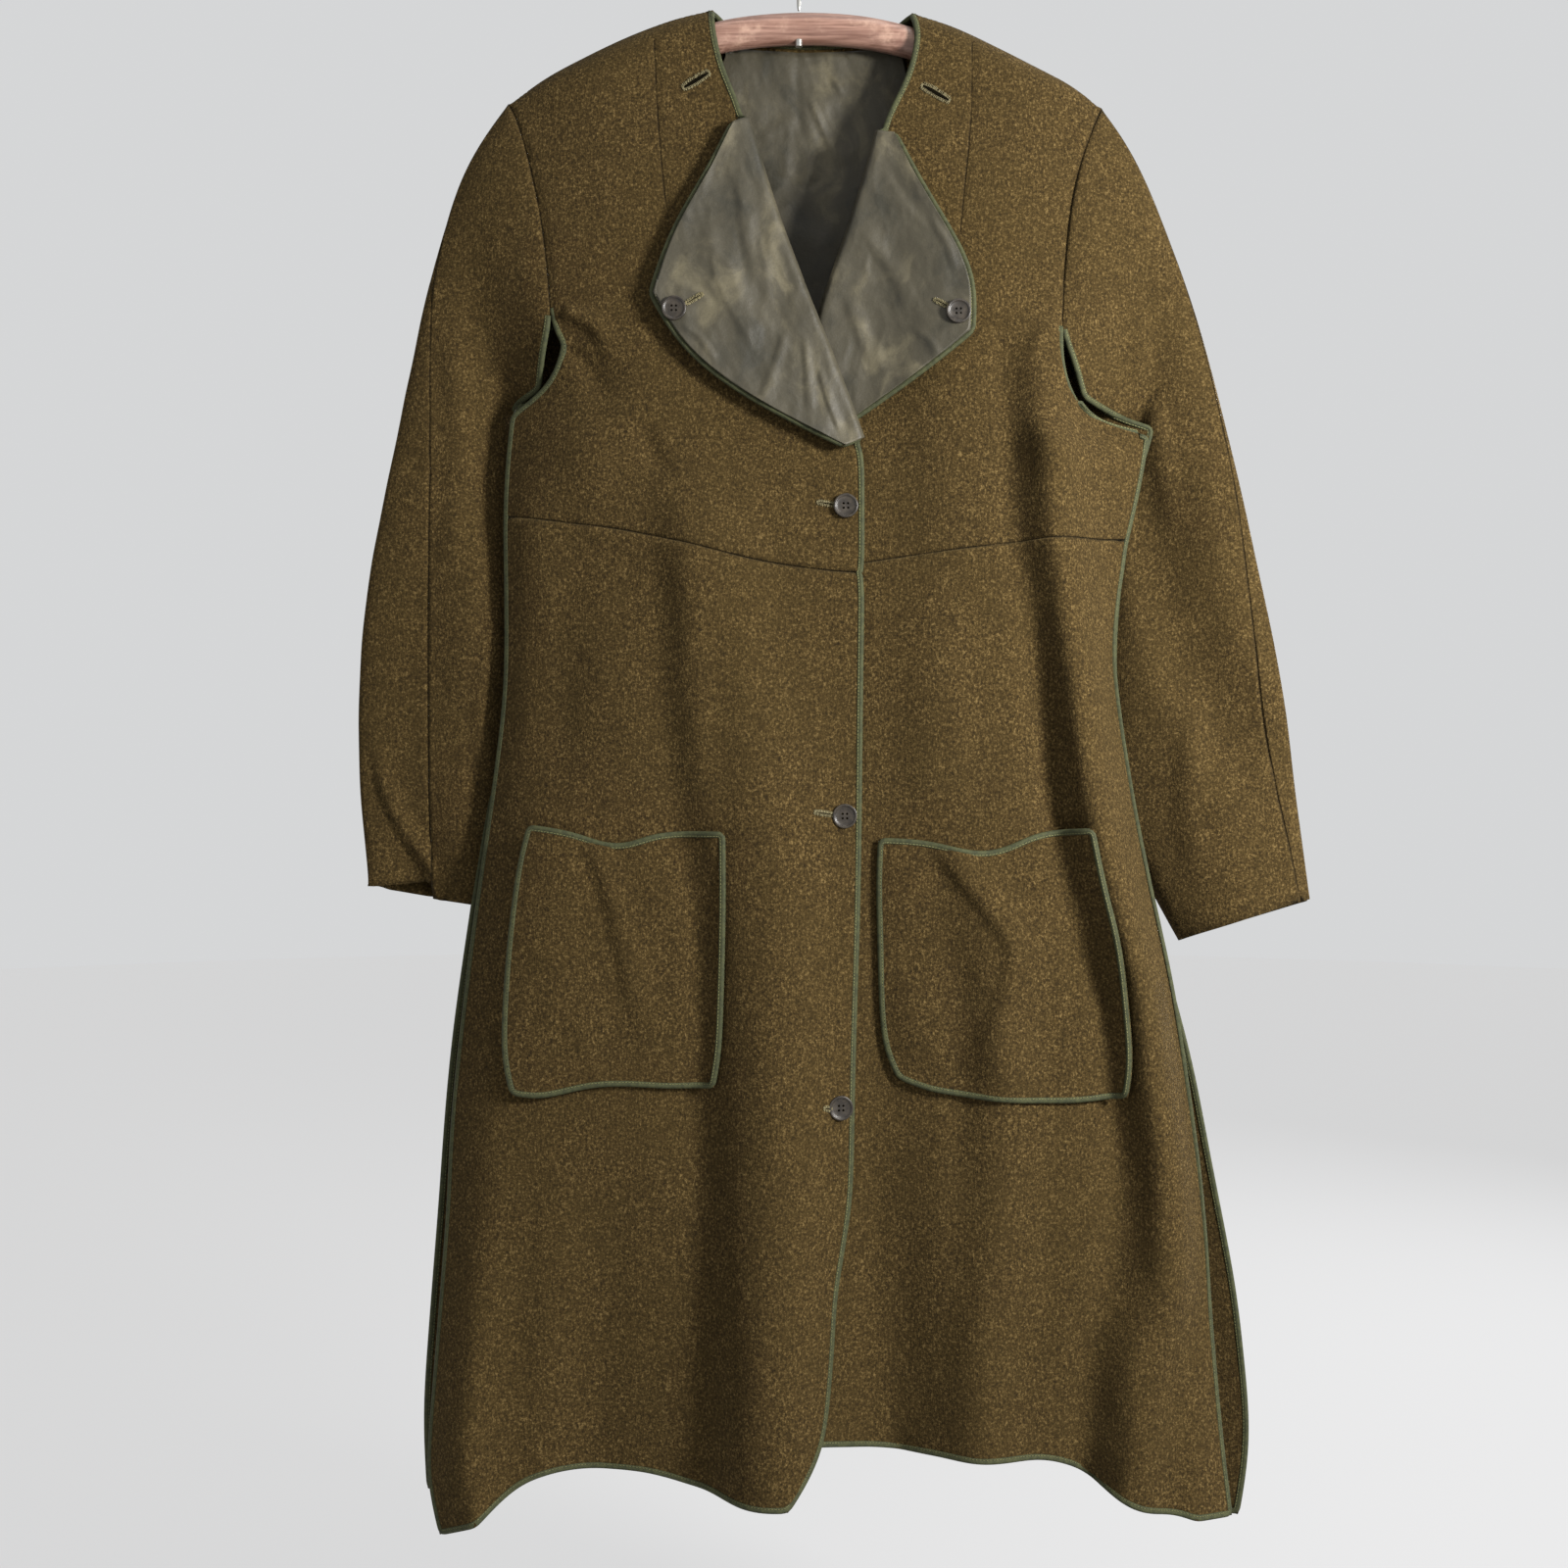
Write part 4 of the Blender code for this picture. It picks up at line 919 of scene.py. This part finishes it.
# %% [markdown]
# Felted wool mixes dark, olive and straw fibres, so it is speckled from close by.  Two
# layers of noise at the size of the flecks and a stretched one for hairs give the mottle,
# and broad ones the shading where the nap lies differently.  Sheen softens the edges.

# %% Wool
wool = Finish("wool", Roughness=0.96, Sheen_Weight=0.05, Sheen_Roughness=0.5, Sheen_Tint=colour(190, 165, 110),
              Specular_IOR_Level=0.08)
hairs = wool.grain((900, 900, 260), (0.3, 0.2, 0.5))
tone = wool.noise(520, 3, 0.65) * 0.55 + wool.noise(1100, 2, 0.6) * 0.25 + hairs * 0.2
line = abs(wool.node("ShaderNodeAttribute", {"attribute_name": "line"}, {}, "Fac"))
# Within a millimetre of a seam, dart or cuff stitch line the wool is painted darker in broken dashes: partly
# the stitches, partly painted shade of the groove.
stitches_and_seam_shade = (1 - line.step(0.2, 0.95)) * (wool.noise(60).step(0.3, 0.62) * 0.6 + 0.4)
body = wool.layers(colour(28, 21, 10),
                   (tone.step(0.37, 0.53), colour(55, 43, 21)),
                   (tone.step(0.5, 0.66), colour(99, 82, 50)),
                   (wool.noise(75, 3, 0.6).step(0.38, 0.66) * 0.3, colour(40, 31, 14)),
                   (wool.noise(14).step(0.35, 0.7) * 0.2, colour(50, 40, 18)),
                   (stitches_and_seam_shade * 0.7, colour(26, 20, 11)))
wool.connect(Base_Color=body, Normal=wool.bump(tone + hairs * 0.4 - stitches_and_seam_shade * 1.2, 0.0012, 0.55))
print("wool nodes:", len(wool.nodes))

# %% [markdown]
# The satin is an old grey-green lining.  Its float threads run one way, and its colour has
# paler cloudy patches of painted sheen.

# %% Satin
satin = Finish("satin", Roughness=0.55, Specular_IOR_Level=0.3)
drawn_out = satin.node("ShaderNodeVectorMath", {"operation": "MULTIPLY_ADD"},
                       {0: satin.node("ShaderNodeTexNoise", {}, {"Vector": satin.place, "Scale": 16.0}, 1),
                        1: (0.05, 0.05, 0.05), 2: satin.stretched((1.0, 1.0, 0.55), (0, 0.35, 0))})
painted_sheen_clouds = satin.noise(34, 5, 0.62, drawn_out)
floats = satin.grain((300, 300, 4200))
creases = satin.noise(170, 4, 0.6)
# The two paler cloud layers are painted sheen; the same clouds also vary the roughness.
cloth = satin.layers(colour(40, 38, 29),
                     (painted_sheen_clouds.step(0.3, 0.5), colour(55, 51, 39)),
                     (painted_sheen_clouds.step(0.5, 0.74), colour(84, 78, 60)),
                     (floats.step(0.3, 0.7) * 0.25, colour(38, 36, 28)))
satin.connect(Base_Color=cloth, Roughness=painted_sheen_clouds * 0.3 + 0.4,
              Normal=satin.bump(creases * 0.7 + floats * 0.12 + satin.noise(18) * 0.2, 0.0011, 0.5))
print("satin nodes:", len(satin.nodes))

# %% [markdown]
# The tape is a dark green ribbed braid with a paler thread along its inner side; the groove that the thread
# sinks into is painted darker, as painted shade.

# %% Tape
RIB_PITCH, STITCH_PITCH = 0.0009, 0.0024
GROOVE_AT = 5.4 / len(SECTION)     # where the section dips for the stitches
GROOVE_HALF = 0.028
tape = Finish("tape", Roughness=0.8, Specular_IOR_Level=0.25)
tape_uv = tape.node("ShaderNodeUVMap", {"uv_map": "tape"}, {})
along, around = (tape.node("ShaderNodeSeparateXYZ", {}, {0: tape_uv}, output) for output in (0, 1))
ribs, dashes = (abs((along % pitch) * (2 / pitch) - 1) for pitch in (RIB_PITCH, STITCH_PITCH))
# thread marks the groove where the stitches sink in; below, it darkens the colour as painted shade, and the
# pale stitches lie on it.
thread = (GROOVE_HALF - abs(abs(around - 0.5) - (0.5 - GROOVE_AT))).step(0.0, 0.012)
stitch = thread * (dashes - 0.28).step(0.0, 0.12)
braid = tape.layers(colour(44, 47, 28),
                    (tape.noise(300).step(0.3, 0.7), colour(60, 62, 37)),
                    (ribs * 0.3, colour(28, 30, 17)),
                    (thread * 0.7, colour(22, 24, 13)),
                    (stitch * 0.9, colour(116, 114, 72)))
tape.connect(Base_Color=braid, Normal=tape.bump(ribs * 0.25 + stitch * 0.9, 0.0004, 0.8))
print("tape nodes:", len(tape.nodes))

# %% [markdown]
# Brown plastic buttons with a soft shine, worn varnished wood and plain steel wire.

# %% Button, wood, steel and thread
plastic = Finish("button", Roughness=0.38)
streaks = plastic.noise(260, 4, 0.6)
plastic.connect(Base_Color=plastic.mix(streaks.step(0.3, 0.75), colour(24, 19, 13), colour(44, 37, 27)),
                Roughness=streaks * 0.3 + 0.25, Normal=plastic.bump(streaks, 0.0002, 0.3))

wood = Finish("wood", Roughness=0.4, Coat_Weight=0.2, Coat_Roughness=0.3)
rings = wood.grain((16, 420, 420), detail=5, roughness=0.6)
pores = wood.grain((60, 1500, 1500))
worn = wood.noise(36, 5, 0.7)
stain = wood.layers(colour(92, 62, 50),
                    (rings.step(0.3, 0.7), colour(136, 104, 90)),
                    (pores.step(0.6, 0.75) * 0.6, colour(60, 34, 24)),
                    (worn.step(0.52, 0.75) * 0.55, colour(176, 146, 126)))
wood.connect(Base_Color=stain, Roughness=worn * 0.35 + 0.28,
             Normal=wood.bump(rings * 0.6 + pores * 0.4, 0.0004, 0.4))

steel = Finish("steel", Metallic=1.0, Roughness=0.32)
drawn = steel.grain((1800, 1800, 90))
steel.connect(Base_Color=steel.mix(drawn, colour(150, 150, 146), colour(196, 194, 188)),
              Roughness=drawn * 0.25 + 0.25)

cotton = Finish("thread", Roughness=0.8)
twist = cotton.noise(1600)
cotton.connect(Base_Color=cotton.mix(twist, colour(74, 67, 42), colour(116, 107, 74)),
               Normal=cotton.bump(twist, 0.0002, 0.5))
print("materials:", len(bpy.data.materials))

# %% Give the cloth its finish
def dress(piece, finish, node=None):
    """Give a piece its material and its body, and hide the CAD node that it replaces."""
    piece.data.materials.clear()
    piece.data.materials.append(finish.material)
    piece.data.polygons.foreach_set("material_index", [0] * len(piece.data.polygons))
    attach(piece, "root")
    if node:
        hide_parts(node)


for pieces, finish, slot in ((PANELS, wool, "wool"), (SATIN, satin, "satin"), (BINDINGS, tape, "tape")):
    for part, piece in pieces.items():
        dress(piece, finish, part)
    print("dressed", len(pieces), "pieces of", slot)
for part, finish, slot in (("hanger_bar", wood, "wood"), ("hanger_hook", steel, "steel")):
    dress(finer_copy(part, "fine_" + part, 2), finish, part)

# %% [markdown]
# ## Buttons
# A coat button is turned on a lathe: a flat disc with a raised, rounded rim round a dish,
# drilled with four holes.  One is modelled from a cylinder and copied to the five places.

# %% One button
BUTTON_RADIUS = 8.8 * MM
BUTTON_HEIGHT = 2.7 * MM
HOLE_AT = 1.6 * MM
HOLE_RADIUS = 0.85 * MM
RIM_WIDTH = 1.5 * MM
DISH_DEPTH = 0.75 * MM
THREAD_SUNK = 1.1 * MM


def turned_button():
    bpy.ops.object.select_all(action="DESELECT")
    bpy.ops.mesh.primitive_cylinder_add(vertices=36, radius=BUTTON_RADIUS, depth=BUTTON_HEIGHT,
                                        location=(0, 0, BUTTON_HEIGHT / 2))
    button = bpy.context.object
    bpy.ops.object.transform_apply(location=True)
    for parts in (button.data.vertices, button.data.edges):
        parts.foreach_set("select", [False] * len(parts))
    button.data.polygons.foreach_set("select", [face.normal.z > 0.9 for face in button.data.polygons])
    bpy.ops.object.mode_set(mode="EDIT")
    bpy.ops.mesh.select_mode(type="FACE")
    bpy.ops.mesh.inset(thickness=RIM_WIDTH)
    bpy.ops.mesh.inset(thickness=0.5 * MM)
    bpy.ops.transform.translate(value=(0, 0, -DISH_DEPTH))
    bpy.ops.mesh.inset(thickness=2.2 * MM)
    bpy.ops.transform.translate(value=(0, 0, -0.25 * MM))
    bpy.ops.object.mode_set(mode="OBJECT")
    soft = button.modifiers.new("soft", "BEVEL")
    soft.width, soft.segments, soft.angle_limit = 0.45 * MM, 3, math.radians(35)
    bpy.ops.object.modifier_apply(modifier=soft.name)
    for across, down in ((-1, -1), (-1, 1), (1, -1), (1, 1)):
        bpy.ops.object.select_all(action="DESELECT")
        bpy.ops.mesh.primitive_cylinder_add(vertices=16, radius=HOLE_RADIUS, depth=4 * BUTTON_HEIGHT,
                                            location=(across * HOLE_AT, down * HOLE_AT, 0))
        cutter = bpy.context.object
        select_only(button)
        cut = button.modifiers.new("hole", "BOOLEAN")
        cut.operation, cut.solver, cut.object = "DIFFERENCE", "EXACT", cutter
        bpy.ops.object.modifier_apply(modifier=cut.name)
        bpy.data.objects.remove(cutter, do_unlink=True)
    select_only(button)
    bpy.ops.object.shade_smooth_by_angle(angle=math.radians(40))
    return button


def sewn_thread():
    """Two bars of thread that come up through the holes on one side and go down on the other."""
    bars = []
    for down in (-1, 1):
        bpy.ops.object.select_all(action="DESELECT")
        bpy.ops.mesh.primitive_torus_add(major_segments=20, minor_segments=8, major_radius=HOLE_AT,
                                         minor_radius=0.42 * MM, rotation=(math.pi / 2, 0, 0))
        bar = bpy.context.object
        bpy.ops.object.transform_apply(rotation=True)
        bar.data.transform(((1, 0, 0, 0), (0, 1.2, 0, down * HOLE_AT),
                            (0, 0, 0.42, BUTTON_HEIGHT - THREAD_SUNK), (0, 0, 0, 1)))
        bar.data.shade_smooth()
        bars.append(bar)
    select_only(bars[0])
    bars[1].select_set(True)
    bpy.ops.object.join()
    return bars[0]


model_button = turned_button()
model_thread = sewn_thread()
print("button faces:", len(model_button.data.polygons), "thread faces:", len(model_thread.data.polygons))

# %% [markdown]
# A copy is laid on each CAD button and faces the way its broad face does.  The cloth under
# it has moved by its folds, so the button moves with it.

# %% Place the buttons
BUTTONS = ["button_" + place for place in ("front_1", "front_2", "front_3", "lapel_right", "lapel_left")]


def button_frame(node):
    """Foot and facing direction of a CAD button."""
    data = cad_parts[node].data
    facing = sum((face.normal * face.area for face in data.polygons if face.normal.y < -0.8), Vector())
    facing.normalize()
    points = [corner.co for corner in data.vertices]
    centre = sum(points, Vector()) / len(points)
    off_axis = [(point - centre - facing * (point - centre).dot(facing)).length for point in points]
    wide = [point for point, off in zip(points, off_axis) if off > 0.7 * max(off_axis)]
    centre = sum(wide, Vector()) / len(wide)
    return centre + facing * min((point - centre).dot(facing) for point in wide), facing


for node in BUTTONS:
    foot, facing = button_frame(node)
    foot.y -= float(front_rise(read_front(np.array([foot])))[0]) * MM
    turn = facing.to_track_quat("Z", "X").to_matrix().to_4x4()
    turn.translation = foot
    for model, finish, name, replaced in ((model_button, plastic, "turned_", node),
                                          (model_thread, cotton, "thread_", None)):
        piece = add_piece(name + node, model.data.copy())
        piece.data.transform(turn)
        dress(piece, finish, replaced)
for model in (model_button, model_thread):
    bpy.data.objects.remove(model, do_unlink=True)
print("buttons placed:", len(BUTTONS))

# %% [markdown]
# ## Buttonholes
# A buttonhole is a slit with its edges oversewn: short threads that come up through the
# cloth, bend over the edge and go down again.  The two holes at the neck are empty and
# gape; of the others only the end beside the button shows.

# %% Buttonholes
# The cloth, the hole's two ends as x and drop, and how far it gapes.
Hole = namedtuple("Hole", "cloth start end gape")
HOLES = [
    Hole(PANELS["upper_front_right"], (-86, 56.5), (-67, 45), 3.4),
    Hole(PANELS["upper_front_left"], (92, 54.5), (112, 66), 3.4),
    Hole(SATIN["lapel_facing_right"], (-84, 217), (-72, 210), 0.9),
    Hole(SATIN["lapel_facing_left"], (111, 219), (101, 214), 0.9),
    Hole(PANELS["upper_front_right"], (27, 367), (14, 365), 1.1),
    Hole(PANELS["lower_front_right"], (26, 598), (12, 596), 1.1),
    Hole(PANELS["lower_front_right"], (24, 817), (19, 817), 1.1),
]
THREAD_RADIUS = 0.26
THREAD_PITCH = 0.62
chance = random.Random(4)


def on_cloth(tree, place):
    """The point of the cloth that is seen at a place, and the way the cloth faces there."""
    target = Vector((place[0], 0, -BAR_DROP - place[1])) * MM
    point, facing, _, _ = tree.ray_cast(EYE, (target - EYE).normalized())
    return point, facing * (-1 if facing.y > 0 else 1)


def add_tube(mesh, line, radius, sides=5):
    """A thread along a few points, as a thin tube."""
    rings = []
    for before, here, after in zip([line[0]] + line, line, line[1:] + [line[-1]]):
        ahead = (after - before).normalized()
        a = ahead.orthogonal().normalized()
        b = ahead.cross(a)
        rings.append([mesh.verts.new(here + (a * math.cos(k * math.tau / sides)
                                             + b * math.sin(k * math.tau / sides)) * radius)
                      for k in range(sides)])
    for ring, onward in zip(rings, rings[1:]):
        for k in range(sides):
            mesh.faces.new((ring[k], ring[(k + 1) % sides], onward[(k + 1) % sides], onward[k]))
    mesh.faces.new(rings[0][::-1])
    mesh.faces.new(rings[-1])


print("holes:", len(HOLES))

# %% Oversewing the holes
threads, hole_shade_sheets = bmesh.new(), bmesh.new()
for hole in HOLES:
    tree = cloth_tree(hole.cloth.data)
    start, end = Vector(hole.start), Vector(hole.end)
    length = (end - start).length
    count = max(4, round(length / THREAD_PITCH))
    edges = []
    for k in range(count + 1):
        share = k / count
        point, facing = on_cloth(tree, start.lerp(end, share))
        ahead = Vector((end.x - start.x, 0, start.y - end.y)).normalized()
        across = facing.cross(ahead).normalized()
        gape = hole.gape * math.sqrt(max(0.0, math.sin(math.pi * min(share * 0.9 + 0.05, 1)))) / 2
        edges.append((point, facing, across, gape))
        for way in (-1, 1):
            loose = (0.5 if hole.gape > 2 else 0.2) * chance.random()
            line = [(0.75, -0.3), (0.9, 0.3), (1.6, 0.5 + 0.3 * loose), (2.3 + 2 * loose, 0.1 + loose),
                    (2.6 + 2 * loose, -0.4)]
            slip = ahead * chance.uniform(-0.25, 0.25)
            add_tube(threads, [point + (across * way * (gape + out - 0.9) + facing * up + slip * n / 2) * MM
                               for n, (out, up) in enumerate(line)], THREAD_RADIUS * MM)
    rows = [[hole_shade_sheets.verts.new(point + (across * way * gape + facing * 0.15) * MM) for way in (-1, 1)]
            for point, facing, across, gape in edges]
    for row, onward in zip(rows, rows[1:]):
        hole_shade_sheets.faces.new((row[0], row[1], onward[1], onward[0]))
    for (point, facing, across, gape), other in ((edges[0], edges[1]), (edges[-1], edges[-2])):
        back = (point - other[0]).normalized()
        for n in range(3):
            add_tube(threads, [point + (across * way * (gape + 1.2) + facing * up + back * (n * 0.5 - 0.3)) * MM
                               for way, up in ((-1, -0.2), (-0.6, 0.5), (0.6, 0.5), (1, -0.2))],
                     THREAD_RADIUS * MM)

# The slits are thin dark sheets laid 0.15 mm over the cloth: painted shade for the dark inside of each hole.
shadow = Finish("painted_hole_shade", Roughness=1.0, Specular_IOR_Level=0.0, Base_Color=colour(12, 10, 6))
holes = new_piece("buttonhole_threads", threads)
dress(holes, cotton)
hole_shade_piece = new_piece("buttonhole_painted_shade", hole_shade_sheets, smooth=False)
dress(hole_shade_piece, shadow)
print("thread faces:", len(holes.data.polygons))

# %% [markdown]
# The end of the hook's wire is turned over a small washer under the bar.

# %% Foot of the hook
NUB_RADIUS, NUB_LENGTH, NUB_SUNK = 2.6 * MM, 5 * MM, 1.5 * MM
BELOW_BAR = Vector((0, -4, -300)) * MM
bar_tree = cloth_tree(bpy.data.objects["fine_hanger_bar"].data)
under, _, _, _ = bar_tree.ray_cast(BELOW_BAR, Vector((0, 0, 1)))
bpy.ops.object.select_all(action="DESELECT")
bpy.ops.mesh.primitive_cylinder_add(vertices=20, radius=NUB_RADIUS, depth=NUB_LENGTH,
                                    location=under - Vector((0, 0, NUB_SUNK)))
nub = bpy.context.object
nub.name = "hook_foot"
bpy.ops.object.transform_apply(location=True)
dress(nub, steel)
print("the hook ends at", [round(v, 4) for v in under])

# %% [markdown]
# ## Floor and light
# A plain pale floor, a small bright lamp to the right at the height of the chest, as in the
# photograph, and large soft ones that fill the shadows.

# %% Floor, lamps and world
FLOOR_RADIUS, FLOOR_HEIGHT = 7, -1.42
bpy.ops.object.select_all(action="DESELECT")
bpy.ops.mesh.primitive_circle_add(vertices=64, radius=FLOOR_RADIUS, fill_type="NGON",
                                  location=(0, 0, FLOOR_HEIGHT))
floor = bpy.context.object
floor.name = "floor"
bpy.ops.object.transform_apply(location=True)
paint = Finish("floor", Roughness=0.95, Emission_Strength=0.57, Emission_Color=colour(255, 255, 255))
paint.connect(Base_Color=paint.mix(paint.noise(3) * 0.3, colour(78, 78, 79), colour(74, 74, 75)))
floor.data.materials.append(paint.material)

LAMPS = [      # name, place, size, power and tint
    ("key", (1.08, -0.9, -0.2), 0.34, 58, (1.0, 0.985, 0.96)),
    ("fill", (-1.7, -1.9, -0.4), 1.6, 5, (0.95, 0.97, 1.0)),
    ("top", (0.3, -0.5, 1.5), 1.0, 8, (1.0, 1.0, 1.0)),
    ("behind", (1.5, 1.7, 0.2), 1.0, 70, (1.0, 1.0, 1.0)),
]
LIT_PLACE = Vector((0, 0, -0.6))
for name, place, size, power, tint in LAMPS:
    data = bpy.data.lights.new(name, "AREA")
    data.shape, data.size, data.energy, data.color = "DISK", size, power, tint
    light = add_piece(name, data)
    light.location = place
    light.rotation_euler = (LIT_PLACE - Vector(place)).to_track_quat("-Z", "Y").to_euler()

world = bpy.data.worlds.new("studio")
world.use_nodes = True
sky = world.node_tree.nodes["Background"].inputs
sky["Color"].default_value, sky["Strength"].default_value = colour(228, 229, 230), 0.86
bpy.context.scene.world = world
bpy.context.scene.view_settings.view_transform = "Standard"
print("lamps:", len(LAMPS))

# %% [markdown]
# ## Cut sizes
# Each panel's cut size is listed, the size it was cut to before it was sewn and hung, and
# the share of that cut which its copy covers is printed.

CUTS = {       # width, length and area of the flat piece
    "upper_front_right": (0.285, 0.430, 0.098), "upper_front_left": (0.270, 0.425, 0.090),
    "lower_front_right": (0.345, 0.735, 0.208), "lower_front_left": (0.345, 0.715, 0.189),
    "sleeve_right_front": (0.100, 0.610, 0.049), "sleeve_left_front": (0.185, 0.625, 0.060),
    "sleeve_right_back": (0.175, 0.612, 0.085), "sleeve_left_back": (0.200, 0.630, 0.071),
    "pocket_right": (0.163, 0.195, 0.029), "pocket_left": (0.184, 0.198, 0.033),
    "back": (0.640, 1.130, 0.536), "back_lining": (0.220, 0.330, 0.061),
    "lapel_facing_right": (0.150, 0.250, 0.0195), "lapel_facing_left": (0.120, 0.225, 0.0175),
}
# Each binding belongs to the panel that it is sewn to for most of its length.
SEWN_ON = {"back": ["tape_back", "tape_back_neck"]}
for side in SIDES:
    SEWN_ON |= {f"lower_front_{side}": [f"tape_front_{side}"], f"pocket_{side}": [f"tape_pocket_{side}"],
                f"sleeve_{side}_front": [f"tape_sleeve_{side}"]}

for part, piece in {**PANELS, **SATIN}.items():
    width, length, area = CUTS[part]
    print(part, "is", round(sum(face.area for face in piece.data.polygons) / 2 / area, 2), "of its cut")
